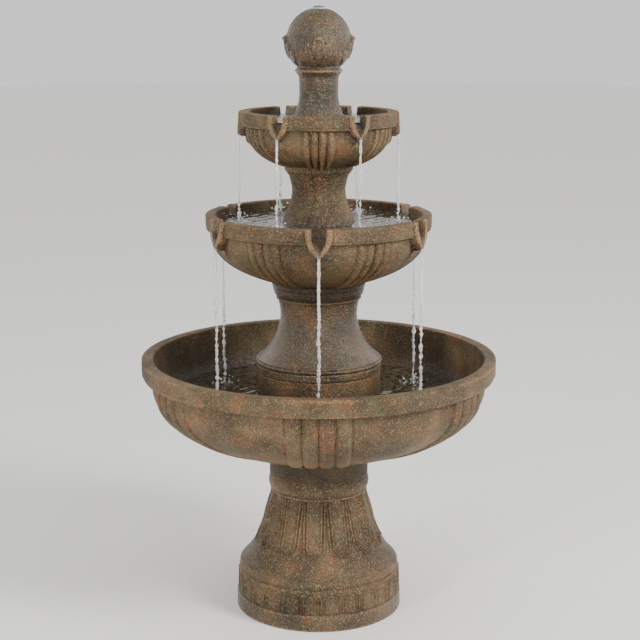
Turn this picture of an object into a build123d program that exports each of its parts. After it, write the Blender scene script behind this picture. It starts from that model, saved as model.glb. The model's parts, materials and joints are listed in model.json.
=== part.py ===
from build123d import *
from dataclasses import dataclass
from math import acos, degrees, sqrt
import os

# Three-tier garden fountain of cast stone, with the pump and hose that run it.
# Millimetres. +Z is up, the front is -Y, and the origin is the middle of the base, on the ground.


@dataclass
class Bowl:
    rim_radius: float      # outside of the rim band
    rim_width: float       # flat top of the rim
    band_height: float     # rim band, top to underside
    band_stand: float      # how far the band stands out from the body
    upright: float         # straight part of the body under the band
    body_drop: float       # curved body, from its straight part down to its seat
    seat_radius: float     # where the curved underside meets what it stands on
    wall: float
    floor: float           # thickness over the seat

    @property
    def body_radius(self):
        return self.rim_radius - self.band_stand

    @property
    def height(self):
        return self.band_height + self.upright + self.body_drop

    @property
    def curve_height(self):    # half height of the ellipse that the body follows
        return self.body_drop / sqrt(1 - (self.seat_radius / self.body_radius) ** 2)


@dataclass
class Spout:
    width: float           # outside, at the rim
    opening: float         # inside, at the rim
    height: float          # rim top down to the tip
    lip: float             # stone left under the channel at the tip
    stand: float           # how far the tip stands out from the rim band
    sill: float            # rim top down to the channel's inner end
    count: int
    first_angle: float     # degrees from the front


# Bowls and spouts
lower_bowl = Bowl(305.0, 20.0, 30.2, 17.0, 17.0, 120.0, 88.0, 9.0, 15.0)
middle_bowl = Bowl(192.0, 17.0, 25.8, 10.5, 6.5, 83.0, 78.0, 8.0, 11.0)
top_bowl = Bowl(132.4, 15.4, 23.4, 9.6, 9.0, 58.5, 57.0, 7.0, 10.5)
rim_rounding = 4.0
middle_spout = Spout(44.0, 26.0, 48.0, 9.0, 5.0, 17.0, 6, 0.0)
top_spout = Spout(38.0, 22.0, 40.0, 9.0, 3.6, 14.0, 6, 30.0)
channel_overrun = 5.0         # how far the channel cutter runs past the stone

# Pedestal
pedestal_height = 243.0
plinth_radius = 145.4
plinth_height = 28.0
arch_band_radius = 142.0
arch_band_top = 72.0
shoulder_radius = 139.4
shoulder_top = 84.0
neck_radius = 83.4
neck_top = 214.0
pedestal_bead = 4.4           # how far the bead under the bowl stands out
stone_wall = 9.0              # pedestal, bowl foot, pump housing and lower column
cord_notch_width = 26.0
cord_notch_height = 20.0

# How the stones locate on each other
spigot_length = 16.0
spigot_gap = 1.0              # radial play of a spigot or curb in the stone around it
curb_height = 8.0
curb_width = 6.0

# Lower bowl's foot, pump housing and lower column
foot_height = 41.0
foot_waist = 86.0
housing_radius = 107.0
housing_height = 129.0
housing_spigot_height = 12.0
inlet_width = 40.0
inlet_height = 32.0
inlet_count = 4
column_foot_radius = 108.5
column_foot_height = 16.0
column_bead = 3.0
lower_column_height = 155.0
lower_waist_radius = 65.8
lower_collar_radius = 79.3
lower_collar_height = 12.0
lower_column_bore = 60.0      # hollow at the collar, which takes the middle bowl's spigot

# Upper column
upper_column_reach = 81.2     # its top above the middle bowl's rim
upper_foot_radius = 70.0
upper_waist_radius = 45.3
upper_collar_radius = 57.8
upper_collar_height = 12.0
upper_wall = 8.0
upper_column_bore = 45.0      # hollow at the collar, which takes the top bowl's spigot

# Finial
finial_height = 250.0
finial_foot_radius = 44.0
finial_shaft_radius = 32.8
finial_wall = 7.5
finial_collar_radius = 39.8
ball_radius = 54.0
ball_neck_radius = 38.0

# Hose, its standpipes, and the outlet in the ball
hose_outer = 9.0
hose_inner = 6.35
standpipe_play = 3.0          # hose to standpipe, radially
standpipe_wall = 4.0
standpipe_freeboard = 6.0     # how far a standpipe ends above the spouts' sill
nozzle_radius = 9.0
nozzle_bore = 4.5
nozzle_length = 22.0
nozzle_proud = 1.5
nozzle_stem_length = 14.0
nozzle_stem_play = 0.35       # stem inside the hose, radially
hose_end_gap = 0.5
clamp_band = 0.8
clamp_height = 9.0
clamp_block = 10.0
clamp_screw_radius = 2.6

# Pump; its outlet is on the fountain's axis
pump_width = 58.0
pump_length = 64.0
pump_height = 52.0
pump_front = -13.0            # y of the chamber's open face
pump_wall = 3.0
pump_rounding = 6.0
back_plate_thickness = 4.0
cup_height = 6.0
cup_radius = 8.0
cup_stem_radius = 2.5
cup_inset = 11.0
chamber_radius = 19.0
chamber_depth = 18.0
magnet_radius = 8.5
magnet_length = 17.0
magnet_play = 0.7
well_wall = 1.2
shaft_radius = 1.25
shaft_play = 0.05
hub_radius = 4.0
bush_length = 2.5
impeller_radius = 16.0
impeller_play = 2.0           # blades to cover
blade_count = 6
blade_thickness = 1.6
blade_length = 9.0
disc_thickness = 2.0
cover_thickness = 4.0
cover_hole_radius = 3.4
cover_hole_circle = 9.5
cover_hole_count = 6
seal_radius = 21.4
seal_section = 1.0
grille_depth = 18.0
grille_wall = 2.0
grille_gap = 0.3
grille_slot = 3.0
grille_slot_pitch = 6.5
grille_slot_rows = 3          # on each side of the dial
dial_radius = 9.0
dial_thickness = 3.0
dial_stem_radius = 2.8
dial_play = 0.05
shutter_radius = 18.0
shutter_thickness = 1.5
core_arm = 8.0
core_height = 20.0
coil_thickness = 4.0
outlet_boss_radius = 12.0
outlet_boss_height = 8.0
outlet_thread_radius = 8.0
outlet_thread_depth = 14.0
barb_bore = 4.5
barb_length = 26.0
barb_flange = 4.0
barb_count = 3
gland_radius = 5.5
gland_tip_radius = 4.2
gland_length = 14.0
cord_radius = 3.1

# Rubber stoppers in the floor of the lower bowl
stopper_offset = 50.0
stopper_gap = 0.3
drain_radius = 9.0
grommet_radius = 10.0
stopper_flange = 3.0
stopper_lip = 3.0             # how far a flange reaches past its hole

# Heights, up the stack
foot_base = pedestal_height
lower_seat = foot_base + foot_height
lower_floor = lower_seat + lower_bowl.floor
housing_top = lower_floor + housing_height
middle_seat = housing_top + lower_column_height
middle_floor = middle_seat + middle_bowl.floor
middle_rim = middle_seat + middle_bowl.height
top_seat = middle_rim + upper_column_reach
top_floor = top_seat + top_bowl.floor
finial_top = top_floor + finial_height
ball_centre = finial_top - ball_radius

# Radii that follow from what fits in them
pedestal_bore = neck_radius - stone_wall
foot_spigot = pedestal_bore - spigot_gap
foot_bore = foot_spigot - stone_wall
housing_bore = housing_radius - stone_wall
column_foot_bore = column_foot_radius - stone_wall
housing_spigot = column_foot_bore - spigot_gap
upper_foot_bore = upper_foot_radius - upper_wall
finial_foot_bore = finial_foot_radius - finial_wall
finial_bore = finial_shaft_radius - finial_wall
standpipe_bore = hose_outer + standpipe_play
standpipe_radius = standpipe_bore + standpipe_wall

# Pump places
pump_base = lower_floor + cup_height
pump_top = pump_base + pump_height
rotor_height = pump_base + pump_height / 2
chamber_back = pump_front + chamber_depth
pump_back = pump_front + pump_length
cover_front = pump_front - cover_thickness
grille_front = cover_front - grille_depth
well_radius = magnet_radius + magnet_play
magnet_front = chamber_back + 2.0
magnet_back = magnet_front + magnet_length
well_back = magnet_back + 1.0 + bush_length
disc_back = chamber_back - 2.0
blade_front = pump_front + impeller_play
outlet_top = pump_top + outlet_boss_height
hose_bottom = outlet_top + barb_flange
nozzle_top = finial_top + nozzle_proud
hose_top = nozzle_top - nozzle_length - hose_end_gap


def turned(edges):
    """Solid of revolution about Z from edges drawn as (radius, height)."""
    return revolve(Plane.XZ * make_face(edges), Axis.Z)


def polygon(*points):
    return Polyline(*points, close=True).edges()


def ring(outer, inner, bottom, top):
    return turned(polygon((inner, bottom), (outer, bottom), (outer, top), (inner, top)))


def rod(radius, bottom, top, x=0.0, y=0.0):
    return Pos(x, y, (bottom + top) / 2) * Cylinder(radius, top - bottom)


def rod_along_y(radius, front, back, x=0.0, height=rotor_height):
    return Pos(x, (front + back) / 2, height) * Rot(90, 0, 0) * Cylinder(radius, back - front)


def block(x0, x1, y0, y1, z0, z1):
    return Pos((x0 + x1) / 2, (y0 + y1) / 2, (z0 + z1) / 2) * Box(x1 - x0, y1 - y0, z1 - z0)


def around(count, first_angle=0.0):
    return [Rot(0, 0, first_angle + 360 / count * i) for i in range(count)]


# Bowls

def ellipse_side(centre, across, high, start_radius):
    """Side of an ellipse, from start_radius below its centre height out to its widest."""
    turn = degrees(acos(start_radius / across))
    return EllipticalCenterArc((0, centre), across, high, start_angle=-turn, arc_size=turn)


def bowl_shell(bowl, seat, hole):
    """Open bowl on the height seat, with a round hole of that radius in its floor."""
    rim = seat + bowl.height
    band_bottom = rim - bowl.band_height
    centre = seat + bowl.body_drop
    floor = seat + bowl.floor
    mouth = bowl.rim_radius - bowl.rim_width
    inner_radius = bowl.body_radius - bowl.wall
    inner_curve = bowl.curve_height - bowl.wall
    floor_edge = inner_radius * sqrt(1 - ((centre - floor) / inner_curve) ** 2)
    outside = ellipse_side(centre, bowl.body_radius, bowl.curve_height, bowl.seat_radius)
    inside = ellipse_side(centre, inner_radius, inner_curve, floor_edge)
    rim_line = Polyline(outside @ 1, (bowl.body_radius, band_bottom), (bowl.rim_radius, band_bottom),
                        (bowl.rim_radius, rim), (mouth, rim), inside @ 1)
    floor_line = Polyline(inside @ 0, (hole, floor), (hole, seat), outside @ 0)
    section = make_face([outside, *rim_line.edges(), inside, *floor_line.edges()])
    corners = [v for v in section.vertices() if v.Y > band_bottom - 0.1]
    return revolve(Plane.XZ * fillet(corners, rim_rounding), Axis.Z)


def spout_shield(bowl, spout, rim):
    """Shield-shaped lip at the front, from inside the bowl's wall to past the rim band."""
    half = spout.width / 2
    tip = (0, rim - spout.height)
    waist_x = 0.80 * half
    waist_z = rim - spout.height / 2
    outline = [ThreePointArc((-half, rim), (-waist_x, waist_z), tip),
               ThreePointArc(tip, (waist_x, waist_z), (half, rim)),
               Line((half, rim), (-half, rim))]
    start = bowl.body_radius - bowl.wall / 2
    reach = bowl.rim_radius + spout.stand
    return extrude(Plane.XZ.offset(start) * make_face(outline), reach - start)


def spout_channel(bowl, spout, rim):
    """Cutter for the water's way: a wide shallow V inside that deepens towards the tip."""
    half = spout.opening / 2
    top = rim + channel_overrun
    start = bowl.rim_radius - bowl.rim_width - channel_overrun
    end = bowl.rim_radius + spout.stand + channel_overrun
    sections = []
    for radius, shoulder, bottom in (
        (start, rim - 0.4 * spout.sill, rim - spout.sill),
        (end, rim - 0.1 * spout.height, rim - spout.height + spout.lip),
    ):
        outline = polygon((-half, top), (half, top), (half, shoulder), (0, bottom), (-half, shoulder))
        sections.append(Plane.XZ.offset(radius) * make_face(outline))
    return loft(sections, ruled=True)


def spouted_bowl(bowl, spout, seat, column_bore, foot_bore_above):
    """Upper bowl: shell, spouts, spigot into the column below, standpipe, curb for the column above."""
    rim = seat + bowl.height
    floor = seat + bowl.floor
    turns = around(spout.count, spout.first_angle)
    shape = bowl_shell(bowl, seat, standpipe_bore)
    shape += [turn * spout_shield(bowl, spout, rim) for turn in turns]
    shape -= [turn * spout_channel(bowl, spout, rim) for turn in turns]
    spigot = column_bore - spigot_gap
    curb = foot_bore_above - spigot_gap
    shape += ring(spigot, spigot - bowl.wall, seat - spigot_length, seat + 1)
    shape += ring(curb, curb - curb_width, floor - 1, floor + curb_height)
    standpipe_top = rim - spout.sill + standpipe_freeboard
    return shape + ring(standpipe_radius, standpipe_bore, floor - 1, standpipe_top)


def make_lower_bowl():
    shape = bowl_shell(lower_bowl, lower_seat, 0)
    side = Spline((foot_waist, foot_base), (foot_waist, foot_base + foot_height / 3),
                  (lower_bowl.seat_radius, lower_seat), tangents=[(0, 1), (0.3, 1)])
    rest = Polyline(side @ 1, (lower_bowl.seat_radius, lower_seat + 1), (foot_bore, lower_seat + 1),
                    (foot_bore, foot_base - spigot_length), (foot_spigot, foot_base - spigot_length),
                    (foot_spigot, foot_base), side @ 0)
    shape += turned([side, *rest.edges()])
    curb = housing_bore - spigot_gap
    shape += ring(curb, curb - curb_width, lower_floor - 1, lower_floor + curb_height)
    for x, radius in ((-stopper_offset, drain_radius), (stopper_offset, grommet_radius)):
        shape -= rod(radius, lower_seat - 10, lower_floor + 10, x)
    return shape


def make_middle_bowl():
    return spouted_bowl(middle_bowl, middle_spout, middle_seat, lower_column_bore, upper_foot_bore)


def make_top_bowl():
    return spouted_bowl(top_bowl, top_spout, top_seat, upper_column_bore, finial_foot_bore)


# Pedestal, housing and columns

def make_base_pedestal():
    rise = neck_top - shoulder_top
    spread = shoulder_radius - neck_radius
    bore_foot = arch_band_radius - stone_wall
    bead_bottom = neck_top + 2
    bead_top = pedestal_height - 2
    flare = Spline((shoulder_radius, shoulder_top),
                   (neck_radius + 0.59 * spread, shoulder_top + 0.21 * rise),
                   (neck_radius + 0.27 * spread, shoulder_top + 0.51 * rise),
                   (neck_radius + 0.09 * spread, shoulder_top + 0.80 * rise),
                   (neck_radius, neck_top), tangents=[(-1, 0.75), (0, 1)])
    foot = Polyline((bore_foot, 0), (plinth_radius, 0), (plinth_radius - 1, plinth_height),
                    (arch_band_radius, plinth_height + 2), (arch_band_radius - 1, arch_band_top),
                    (shoulder_radius, arch_band_top + 2), flare @ 0)
    bead = ThreePointArc((neck_radius, bead_bottom),
                         (neck_radius + pedestal_bead, (bead_bottom + bead_top) / 2),
                         (neck_radius, bead_top))
    inside = Polyline(bead @ 1, (neck_radius, pedestal_height), (pedestal_bore, pedestal_height),
                      (pedestal_bore, neck_top - 10),
                      (neck_radius + 0.27 * spread - stone_wall, shoulder_top + 0.40 * rise),
                      (bore_foot - 2, arch_band_top), (bore_foot, 0))
    shape = turned([*foot.edges(), flare, Line(flare @ 1, bead @ 0), bead, *inside.edges()])
    half = cord_notch_width / 2
    spring = cord_notch_height - half
    front, back = bore_foot - stone_wall, plinth_radius + stone_wall
    shape -= block(-half, half, front, back, -1, spring)
    return shape - rod_along_y(half, front, back, height=spring)


def make_pump_housing():
    bore_at_spigot = housing_spigot - stone_wall
    ledge = housing_top - housing_spigot_height
    shape = turned(polygon(
        (housing_bore, lower_floor), (housing_radius, lower_floor), (housing_radius, housing_top),
        (housing_spigot, housing_top), (housing_spigot, housing_top + housing_spigot_height),
        (bore_at_spigot, housing_top + housing_spigot_height), (bore_at_spigot, ledge),
        (housing_bore, ledge - stone_wall)))
    spring = lower_floor + inlet_height - inlet_width / 2
    inner, outer = housing_bore - stone_wall, housing_radius + stone_wall
    inlet = block(-inlet_width / 2, inlet_width / 2, inner, outer, lower_floor - 1, spring)
    inlet += rod_along_y(inlet_width / 2, inner, outer, height=spring)
    return shape - [turn * inlet for turn in around(inlet_count)]


def make_lower_column():
    base, top = housing_top, middle_seat
    band_top = base + column_foot_height
    bead_top = band_top + 2 * column_bead
    waist_height = base + 0.62 * lower_column_height
    ridge_height = waist_height + 0.18 * lower_column_height
    collar_bottom = top - lower_collar_height
    spread = column_foot_radius - lower_waist_radius
    swell = lower_collar_radius - lower_waist_radius
    bead = ThreePointArc((column_foot_radius - 1, band_top),
                         (column_foot_radius + 1, band_top + column_bead),
                         (column_foot_radius - column_bead, bead_top))
    flare = Spline(bead @ 1,
                   (lower_waist_radius + 0.34 * spread, base + 0.31 * lower_column_height),
                   (lower_waist_radius + 0.03 * spread, base + 0.54 * lower_column_height),
                   (lower_waist_radius, waist_height), tangents=[(-1, 0.8), (0, 1)])
    neck = Spline(flare @ 1, (lower_waist_radius + 0.13 * swell, waist_height + 0.11 * lower_column_height),
                  (lower_waist_radius + 0.38 * swell, ridge_height), tangents=[(0, 1), (0.5, 1)])
    ogee = ThreePointArc((lower_waist_radius + 0.45 * swell, ridge_height + 4),
                         (lower_waist_radius + 0.85 * swell, collar_bottom - 6),
                         (lower_collar_radius, collar_bottom))
    foot = Polyline((column_foot_bore, base), (column_foot_radius, base), bead @ 0)
    inside = Polyline(ogee @ 1, (lower_collar_radius, top), (lower_column_bore, top),
                      (lower_column_bore, collar_bottom - stone_wall),
                      (lower_waist_radius - stone_wall, ridge_height),
                      (lower_waist_radius - stone_wall, base + 0.42 * lower_column_height),
                      (lower_waist_radius + 0.30 * spread, base + 0.20 * lower_column_height),
                      (column_foot_bore, band_top - 4), (column_foot_bore, base))
    return turned([*foot.edges(), bead, flare, neck, Line(neck @ 1, ogee @ 0), ogee, *inside.edges()])


def make_upper_column():
    base, top = middle_floor, top_seat
    waist_height = middle_rim + upper_column_reach / 2
    ledge = top - upper_collar_height
    buried = middle_rim - base            # the part that stands in the middle bowl
    spread = upper_foot_radius - upper_waist_radius
    swell = upper_collar_radius - upper_waist_radius
    shaft = Spline((upper_foot_radius, base),
                   (upper_foot_radius - 0.08 * spread, base + 0.45 * buried),
                   (upper_waist_radius + 0.60 * spread, base + 0.90 * buried),
                   (upper_waist_radius + 0.19 * spread, middle_rim + 0.17 * upper_column_reach),
                   (upper_waist_radius, waist_height), tangents=[(0, 1), (0, 1)])
    neck = Spline(shaft @ 1, (upper_waist_radius + 0.20 * swell, waist_height + 0.17 * upper_column_reach),
                  (upper_waist_radius + 0.48 * swell, ledge - 3), tangents=[(0, 1), (0.5, 1)])
    inside = Polyline(neck @ 1, (upper_collar_radius - 2, ledge + 1), (upper_collar_radius, ledge + 4),
                      (upper_collar_radius, top), (upper_column_bore, top),
                      (upper_column_bore, ledge - upper_wall + 3),
                      (upper_waist_radius - upper_wall, waist_height),
                      (upper_waist_radius - upper_wall, middle_rim + 0.17 * upper_column_reach),
                      (upper_foot_bore, base + 0.45 * buried), (upper_foot_bore, base), shaft @ 0)
    return turned([shaft, neck, *inside.edges()])


def make_finial():
    neck_drop = sqrt(ball_radius ** 2 - ball_neck_radius ** 2)
    hole_rise = sqrt(ball_radius ** 2 - nozzle_radius ** 2)
    ball_bottom = ball_centre - neck_drop
    collar_top = ball_bottom - 3
    collar_height = 0.45 * finial_collar_radius
    collar_bottom = collar_top - collar_height
    shaft_height = collar_bottom - top_floor
    cavity = ball_radius - finial_wall
    cavity_bottom = sqrt(cavity ** 2 - finial_bore ** 2)
    cavity_top = sqrt(cavity ** 2 - nozzle_radius ** 2)
    spread = finial_foot_radius - finial_shaft_radius
    shaft = Spline((finial_foot_radius, top_floor),
                   (finial_shaft_radius + 0.80 * spread, top_floor + 0.52 * shaft_height),
                   (finial_shaft_radius + 0.15 * spread, top_floor + 0.68 * shaft_height),
                   (finial_shaft_radius, collar_bottom - 5), tangents=[(0, 1), (0, 1)])
    step = Line(shaft @ 1, (finial_shaft_radius + 2, collar_bottom))
    collar = ThreePointArc(step @ 1, (finial_collar_radius, collar_bottom + collar_height / 2),
                           (ball_neck_radius, collar_top))
    ball = ThreePointArc((ball_neck_radius, ball_bottom), (ball_radius, ball_centre),
                         (nozzle_radius, ball_centre + hole_rise))
    hollow = ThreePointArc((nozzle_radius, ball_centre + cavity_top), (cavity, ball_centre),
                           (finial_bore, ball_centre - cavity_bottom))
    inside = Polyline(hollow @ 1, (finial_bore, top_floor + 0.68 * shaft_height),
                      (finial_foot_bore, top_floor + 0.35 * shaft_height),
                      (finial_foot_bore, top_floor), shaft @ 0)
    return turned([shaft, step, collar, Line(collar @ 1, ball @ 0), ball,
                   Line(ball @ 1, hollow @ 0), hollow, *inside.edges()])


# Stoppers, hose and outlet

def stopper(x, radius, bore):
    """Rubber stopper pushed into the floor from above; its rim seals on the floor."""
    fit = radius - stopper_gap
    shape = rod(fit, lower_seat, lower_floor, x)
    shape += rod(radius + stopper_lip, lower_floor, lower_floor + stopper_flange, x)
    if bore:
        shape -= rod(bore, lower_seat - 1, lower_floor + stopper_flange + 1, x)
    return shape


def make_drain_plug():
    plug = stopper(-stopper_offset, drain_radius, 0)
    top = lower_floor + stopper_flange
    grip = block(-stopper_offset - 6, -stopper_offset + 6, -1.5, 1.5, top - 0.5, top + 8)
    return plug + fillet(grip.edges().filter_by(Axis.Y).group_by(Axis.Z)[-1], 3)


def make_cord_grommet():
    """Its slit for the cord is pressed shut in its hole, so it isn't cut."""
    return stopper(stopper_offset, grommet_radius, cord_radius)


def make_riser_hose():
    return ring(hose_outer, hose_inner, hose_bottom, hose_top)


def make_outlet_nozzle():
    """Plastic tube pressed into the ball; its stem slips into the hose."""
    stem = hose_inner - nozzle_stem_play
    bottom = nozzle_top - nozzle_length
    shape = ring(nozzle_radius, nozzle_bore, bottom, nozzle_top)
    return shape + ring(stem, nozzle_bore, bottom - nozzle_stem_length, bottom + 1)


def make_hose_clamp():
    bottom = hose_bottom + barb_length / 3
    outer = hose_outer + clamp_band
    middle = bottom + clamp_height / 2
    shape = ring(outer, hose_outer, bottom, bottom + clamp_height)
    lug = block(outer - 0.5, outer + clamp_block - 2, -clamp_block / 2, clamp_block / 2,
                bottom, bottom + clamp_height)
    shape += lug - ring(hose_outer, 0, bottom - 1, bottom + clamp_height + 1)
    return shape - rod_along_y(clamp_screw_radius, -clamp_block, clamp_block, clamp_screw_x(), middle)


def clamp_screw_x():
    return hose_outer + clamp_band + clamp_block / 2 - 1


def make_clamp_screw():
    middle = hose_bottom + barb_length / 3 + clamp_height / 2
    shape = rod_along_y(clamp_screw_radius, -clamp_block / 2, clamp_block / 2 + 1, clamp_screw_x(), middle)
    head_back = -clamp_block / 2
    head = rod_along_y(clamp_screw_radius + 1, head_back - 3, head_back, clamp_screw_x(), middle)
    slot = block(clamp_screw_x() - 4, clamp_screw_x() + 4, head_back - 4, head_back - 2,
                 middle - 0.5, middle + 0.5)
    return shape + head - slot


# Pump

def pump_box(front, back, inset=0.0):
    """Rounded block with the pump's section between two y places."""
    half = pump_width / 2 - inset
    shape = block(-half, half, front, back, pump_base + inset, pump_top - inset)
    return fillet(shape.edges().filter_by(Axis.Y), pump_rounding - inset / 2)


def make_pump_body():
    shape = pump_box(pump_front, pump_back)
    shape -= pump_box(chamber_back + pump_wall, pump_back + 1, pump_wall)
    shape += rod_along_y(well_radius + well_wall, chamber_back + 1, well_back + well_wall)
    shape += rod(outlet_boss_radius, pump_top - pump_wall, outlet_top)
    shape -= rod_along_y(chamber_radius, pump_front - 1, chamber_back)
    shape -= rod_along_y(well_radius, chamber_back - 1, magnet_back + 1)
    shape -= rod_along_y(hub_radius, magnet_back, well_back)
    shape -= rod(outlet_thread_radius, outlet_top - outlet_thread_depth, outlet_top + 1)
    shape -= rod(barb_bore, rotor_height, outlet_top)
    groove = Pos(0, pump_front + seal_section, rotor_height) * Rot(90, 0, 0) * (
        Cylinder(seal_radius + seal_section, 2 * seal_section)
        - Cylinder(seal_radius - seal_section, 2 * seal_section))
    shape -= groove
    for x in (-1, 1):
        for y in (pump_front + cup_inset, pump_back - cup_inset):
            shape -= rod(cup_stem_radius, pump_base - 1, pump_base + pump_wall - 0.8,
                         x * (pump_width / 2 - cup_inset), y)
    return shape


def make_pump_feet():
    """Four rubber suction cups, each with a stem in the pump's underside."""
    cups = []
    for x in (-1, 1):
        for y in (pump_front + cup_inset, pump_back - cup_inset):
            cup = turned(polygon((0, lower_floor + 2), (cup_radius - 2, lower_floor),
                                 (cup_radius, lower_floor),
                                 (cup_stem_radius + 2, pump_base), (cup_stem_radius, pump_base),
                                 (cup_stem_radius, pump_base + pump_wall - 0.8),
                                 (0, pump_base + pump_wall - 0.8)))
            cups.append(Pos(x * (pump_width / 2 - cup_inset), y, 0) * cup)
    return Compound(cups)


def make_pump_back_plate():
    shape = pump_box(pump_back, pump_back + back_plate_thickness)
    return shape - rod_along_y(gland_tip_radius, pump_back - 1, pump_back + back_plate_thickness + 1)


def make_cable_gland():
    """Tapered rubber sleeve in the back plate, where the cord enters."""
    back = pump_back + back_plate_thickness
    tip = back_plate_thickness + gland_length
    sleeve = turned(polygon((cord_radius, 0), (gland_tip_radius, 0),
                            (gland_tip_radius, back_plate_thickness), (gland_radius, back_plate_thickness),
                            (gland_tip_radius, tip), (cord_radius, tip)))
    return Pos(0, back - back_plate_thickness, rotor_height) * Rot(-90, 0, 0) * sleeve


def make_stator_core():
    """U-shaped iron core: two arms beside the rotor's well and a bridge behind it."""
    inner = well_radius + well_wall + 0.3
    front = chamber_back + pump_wall + 1
    back = pump_back - 2
    low, high = rotor_height - core_height / 2, rotor_height + core_height / 2
    shape = block(-inner - core_arm, inner + core_arm, front, back, low, high)
    return shape - block(-inner, inner, front - 1, back - core_arm, low - 1, high + 1)


def make_stator_coils():
    """Two windings, one round each arm of the core, behind the rotor's well."""
    inner = well_radius + well_wall + 0.3
    front = well_back + well_wall + 1
    back = pump_back - 2 - core_arm - 1
    low, high = rotor_height - core_height / 2, rotor_height + core_height / 2
    coils = []
    for side in (-1, 1):
        x0, x1 = sorted((side * inner, side * (inner + core_arm)))
        winding = block(x0 - coil_thickness, x1 + coil_thickness, front, back,
                        low - coil_thickness, high + coil_thickness)
        coils.append(winding - block(x0, x1, front - 1, back + 1, low, high))
    return Compound(coils)


def make_rotor_magnet():
    shape = rod_along_y(magnet_radius, magnet_front, magnet_back)
    return shape - rod_along_y(hub_radius, magnet_front - 1, magnet_back + 1)


def make_impeller():
    """Hub through the magnet, a back disc and straight radial blades."""
    shape = rod_along_y(hub_radius, blade_front, magnet_back)
    shape += rod_along_y(impeller_radius, disc_back - disc_thickness, disc_back)
    blade = block(0, impeller_radius, disc_back - disc_thickness - blade_length, disc_back - 1,
                  rotor_height - blade_thickness / 2, rotor_height + blade_thickness / 2)
    axis = Axis((0, 0, rotor_height), (0, 1, 0))
    shape += [blade.rotate(axis, 360 / blade_count * i) for i in range(blade_count)]
    return shape - rod_along_y(shaft_radius + shaft_play, blade_front - 1, magnet_back + 1)


def make_pump_shaft():
    return rod_along_y(shaft_radius, pump_front - bush_length, well_back)


def bush(front):
    shape = rod_along_y(hub_radius, front, front + bush_length)
    return shape - rod_along_y(shaft_radius, front - 1, front + bush_length + 1)


def make_front_bush():
    return bush(pump_front - bush_length)


def make_rear_bush():
    return bush(well_back - bush_length)


def make_pump_cover():
    """Plate that closes the chamber, with a ring of inlet holes round the front bush."""
    shape = pump_box(cover_front, pump_front)
    shape -= rod_along_y(hub_radius, pump_front - bush_length, pump_front + 1)
    hole = rod_along_y(cover_hole_radius, cover_front - 1, pump_front + 1, cover_hole_circle)
    axis = Axis((0, 0, rotor_height), (0, 1, 0))
    return shape - [hole.rotate(axis, 360 / cover_hole_count * i) for i in range(cover_hole_count)]


def make_seal_ring():
    place = Pos(0, pump_front + seal_section, rotor_height) * Rot(90, 0, 0)
    return place * Torus(seal_radius, seal_section)


def make_intake_grille():
    """Slotted cap in front of the cover; it pulls off towards the front."""
    front, back = grille_front, cover_front - grille_gap
    shape = pump_box(front, back) - pump_box(front + grille_wall, back + 1, grille_wall)
    half = pump_width / 2 - pump_rounding - grille_wall
    for row in range(grille_slot_rows):
        for side in (-1, 1):
            middle = rotor_height + side * (dial_radius + grille_slot + row * grille_slot_pitch / 2 + 0.5)
            shape -= block(-half, half, front - 1, front + grille_wall + 1,
                           middle - grille_slot / 4, middle + grille_slot / 4)
    return shape - rod_along_y(dial_stem_radius + dial_play, front - 1, front + grille_wall + 1)


def make_flow_dial():
    """Regulator: dial in front, stem through the grille, shutter behind it."""
    gap = grille_gap
    shape = rod_along_y(dial_radius, grille_front - gap - dial_thickness, grille_front - gap)
    shape += rod_along_y(dial_stem_radius, grille_front - gap - 1, grille_front + grille_wall + gap + 1)
    shutter_front = grille_front + grille_wall + gap
    shutter = rod_along_y(shutter_radius, shutter_front, shutter_front + shutter_thickness)
    shutter -= block(-shutter_radius, shutter_radius, shutter_front - 1, shutter_front + 3,
                     rotor_height + dial_stem_radius, rotor_height + shutter_radius)
    grip = block(-1.5, 1.5, grille_front - gap - dial_thickness - 3, grille_front - gap - 1,
                 rotor_height - dial_radius + 1, rotor_height + dial_radius - 1)
    return shape + shutter + grip


def make_outlet_barb():
    """Screwed adaptor with a barbed tube for the hose."""
    low = outlet_top - outlet_thread_depth + 1
    shape = ring(outlet_thread_radius, barb_bore, low, outlet_top)
    shape += ring(outlet_boss_radius, barb_bore, outlet_top, hose_bottom)
    pitch = barb_length / barb_count
    for i in range(barb_count):
        base = hose_bottom + i * pitch
        shape += turned(polygon((barb_bore, base), (hose_inner, base), (hose_inner - 0.9, base + pitch),
                                (barb_bore, base + pitch)))
    return shape


makers = {
    "base_pedestal": make_base_pedestal,
    "lower_bowl": make_lower_bowl,
    "pump_housing": make_pump_housing,
    "lower_column": make_lower_column,
    "middle_bowl": make_middle_bowl,
    "upper_column": make_upper_column,
    "top_bowl": make_top_bowl,
    "finial": make_finial,
    "drain_plug": make_drain_plug,
    "cord_grommet": make_cord_grommet,
    "riser_hose": make_riser_hose,
    "outlet_nozzle": make_outlet_nozzle,
    "hose_clamp": make_hose_clamp,
    "clamp_screw": make_clamp_screw,
    "pump_body": make_pump_body,
    "pump_feet": make_pump_feet,
    "pump_back_plate": make_pump_back_plate,
    "cable_gland": make_cable_gland,
    "stator_core": make_stator_core,
    "stator_coils": make_stator_coils,
    "rotor_magnet": make_rotor_magnet,
    "impeller": make_impeller,
    "pump_shaft": make_pump_shaft,
    "front_bush": make_front_bush,
    "rear_bush": make_rear_bush,
    "pump_cover": make_pump_cover,
    "seal_ring": make_seal_ring,
    "intake_grille": make_intake_grille,
    "flow_dial": make_flow_dial,
    "outlet_barb": make_outlet_barb,
}

os.makedirs("parts", exist_ok=True)
for name, make in makers.items():
    export_step(make(), f"parts/{name}.step")
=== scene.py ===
import json
import math

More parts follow.
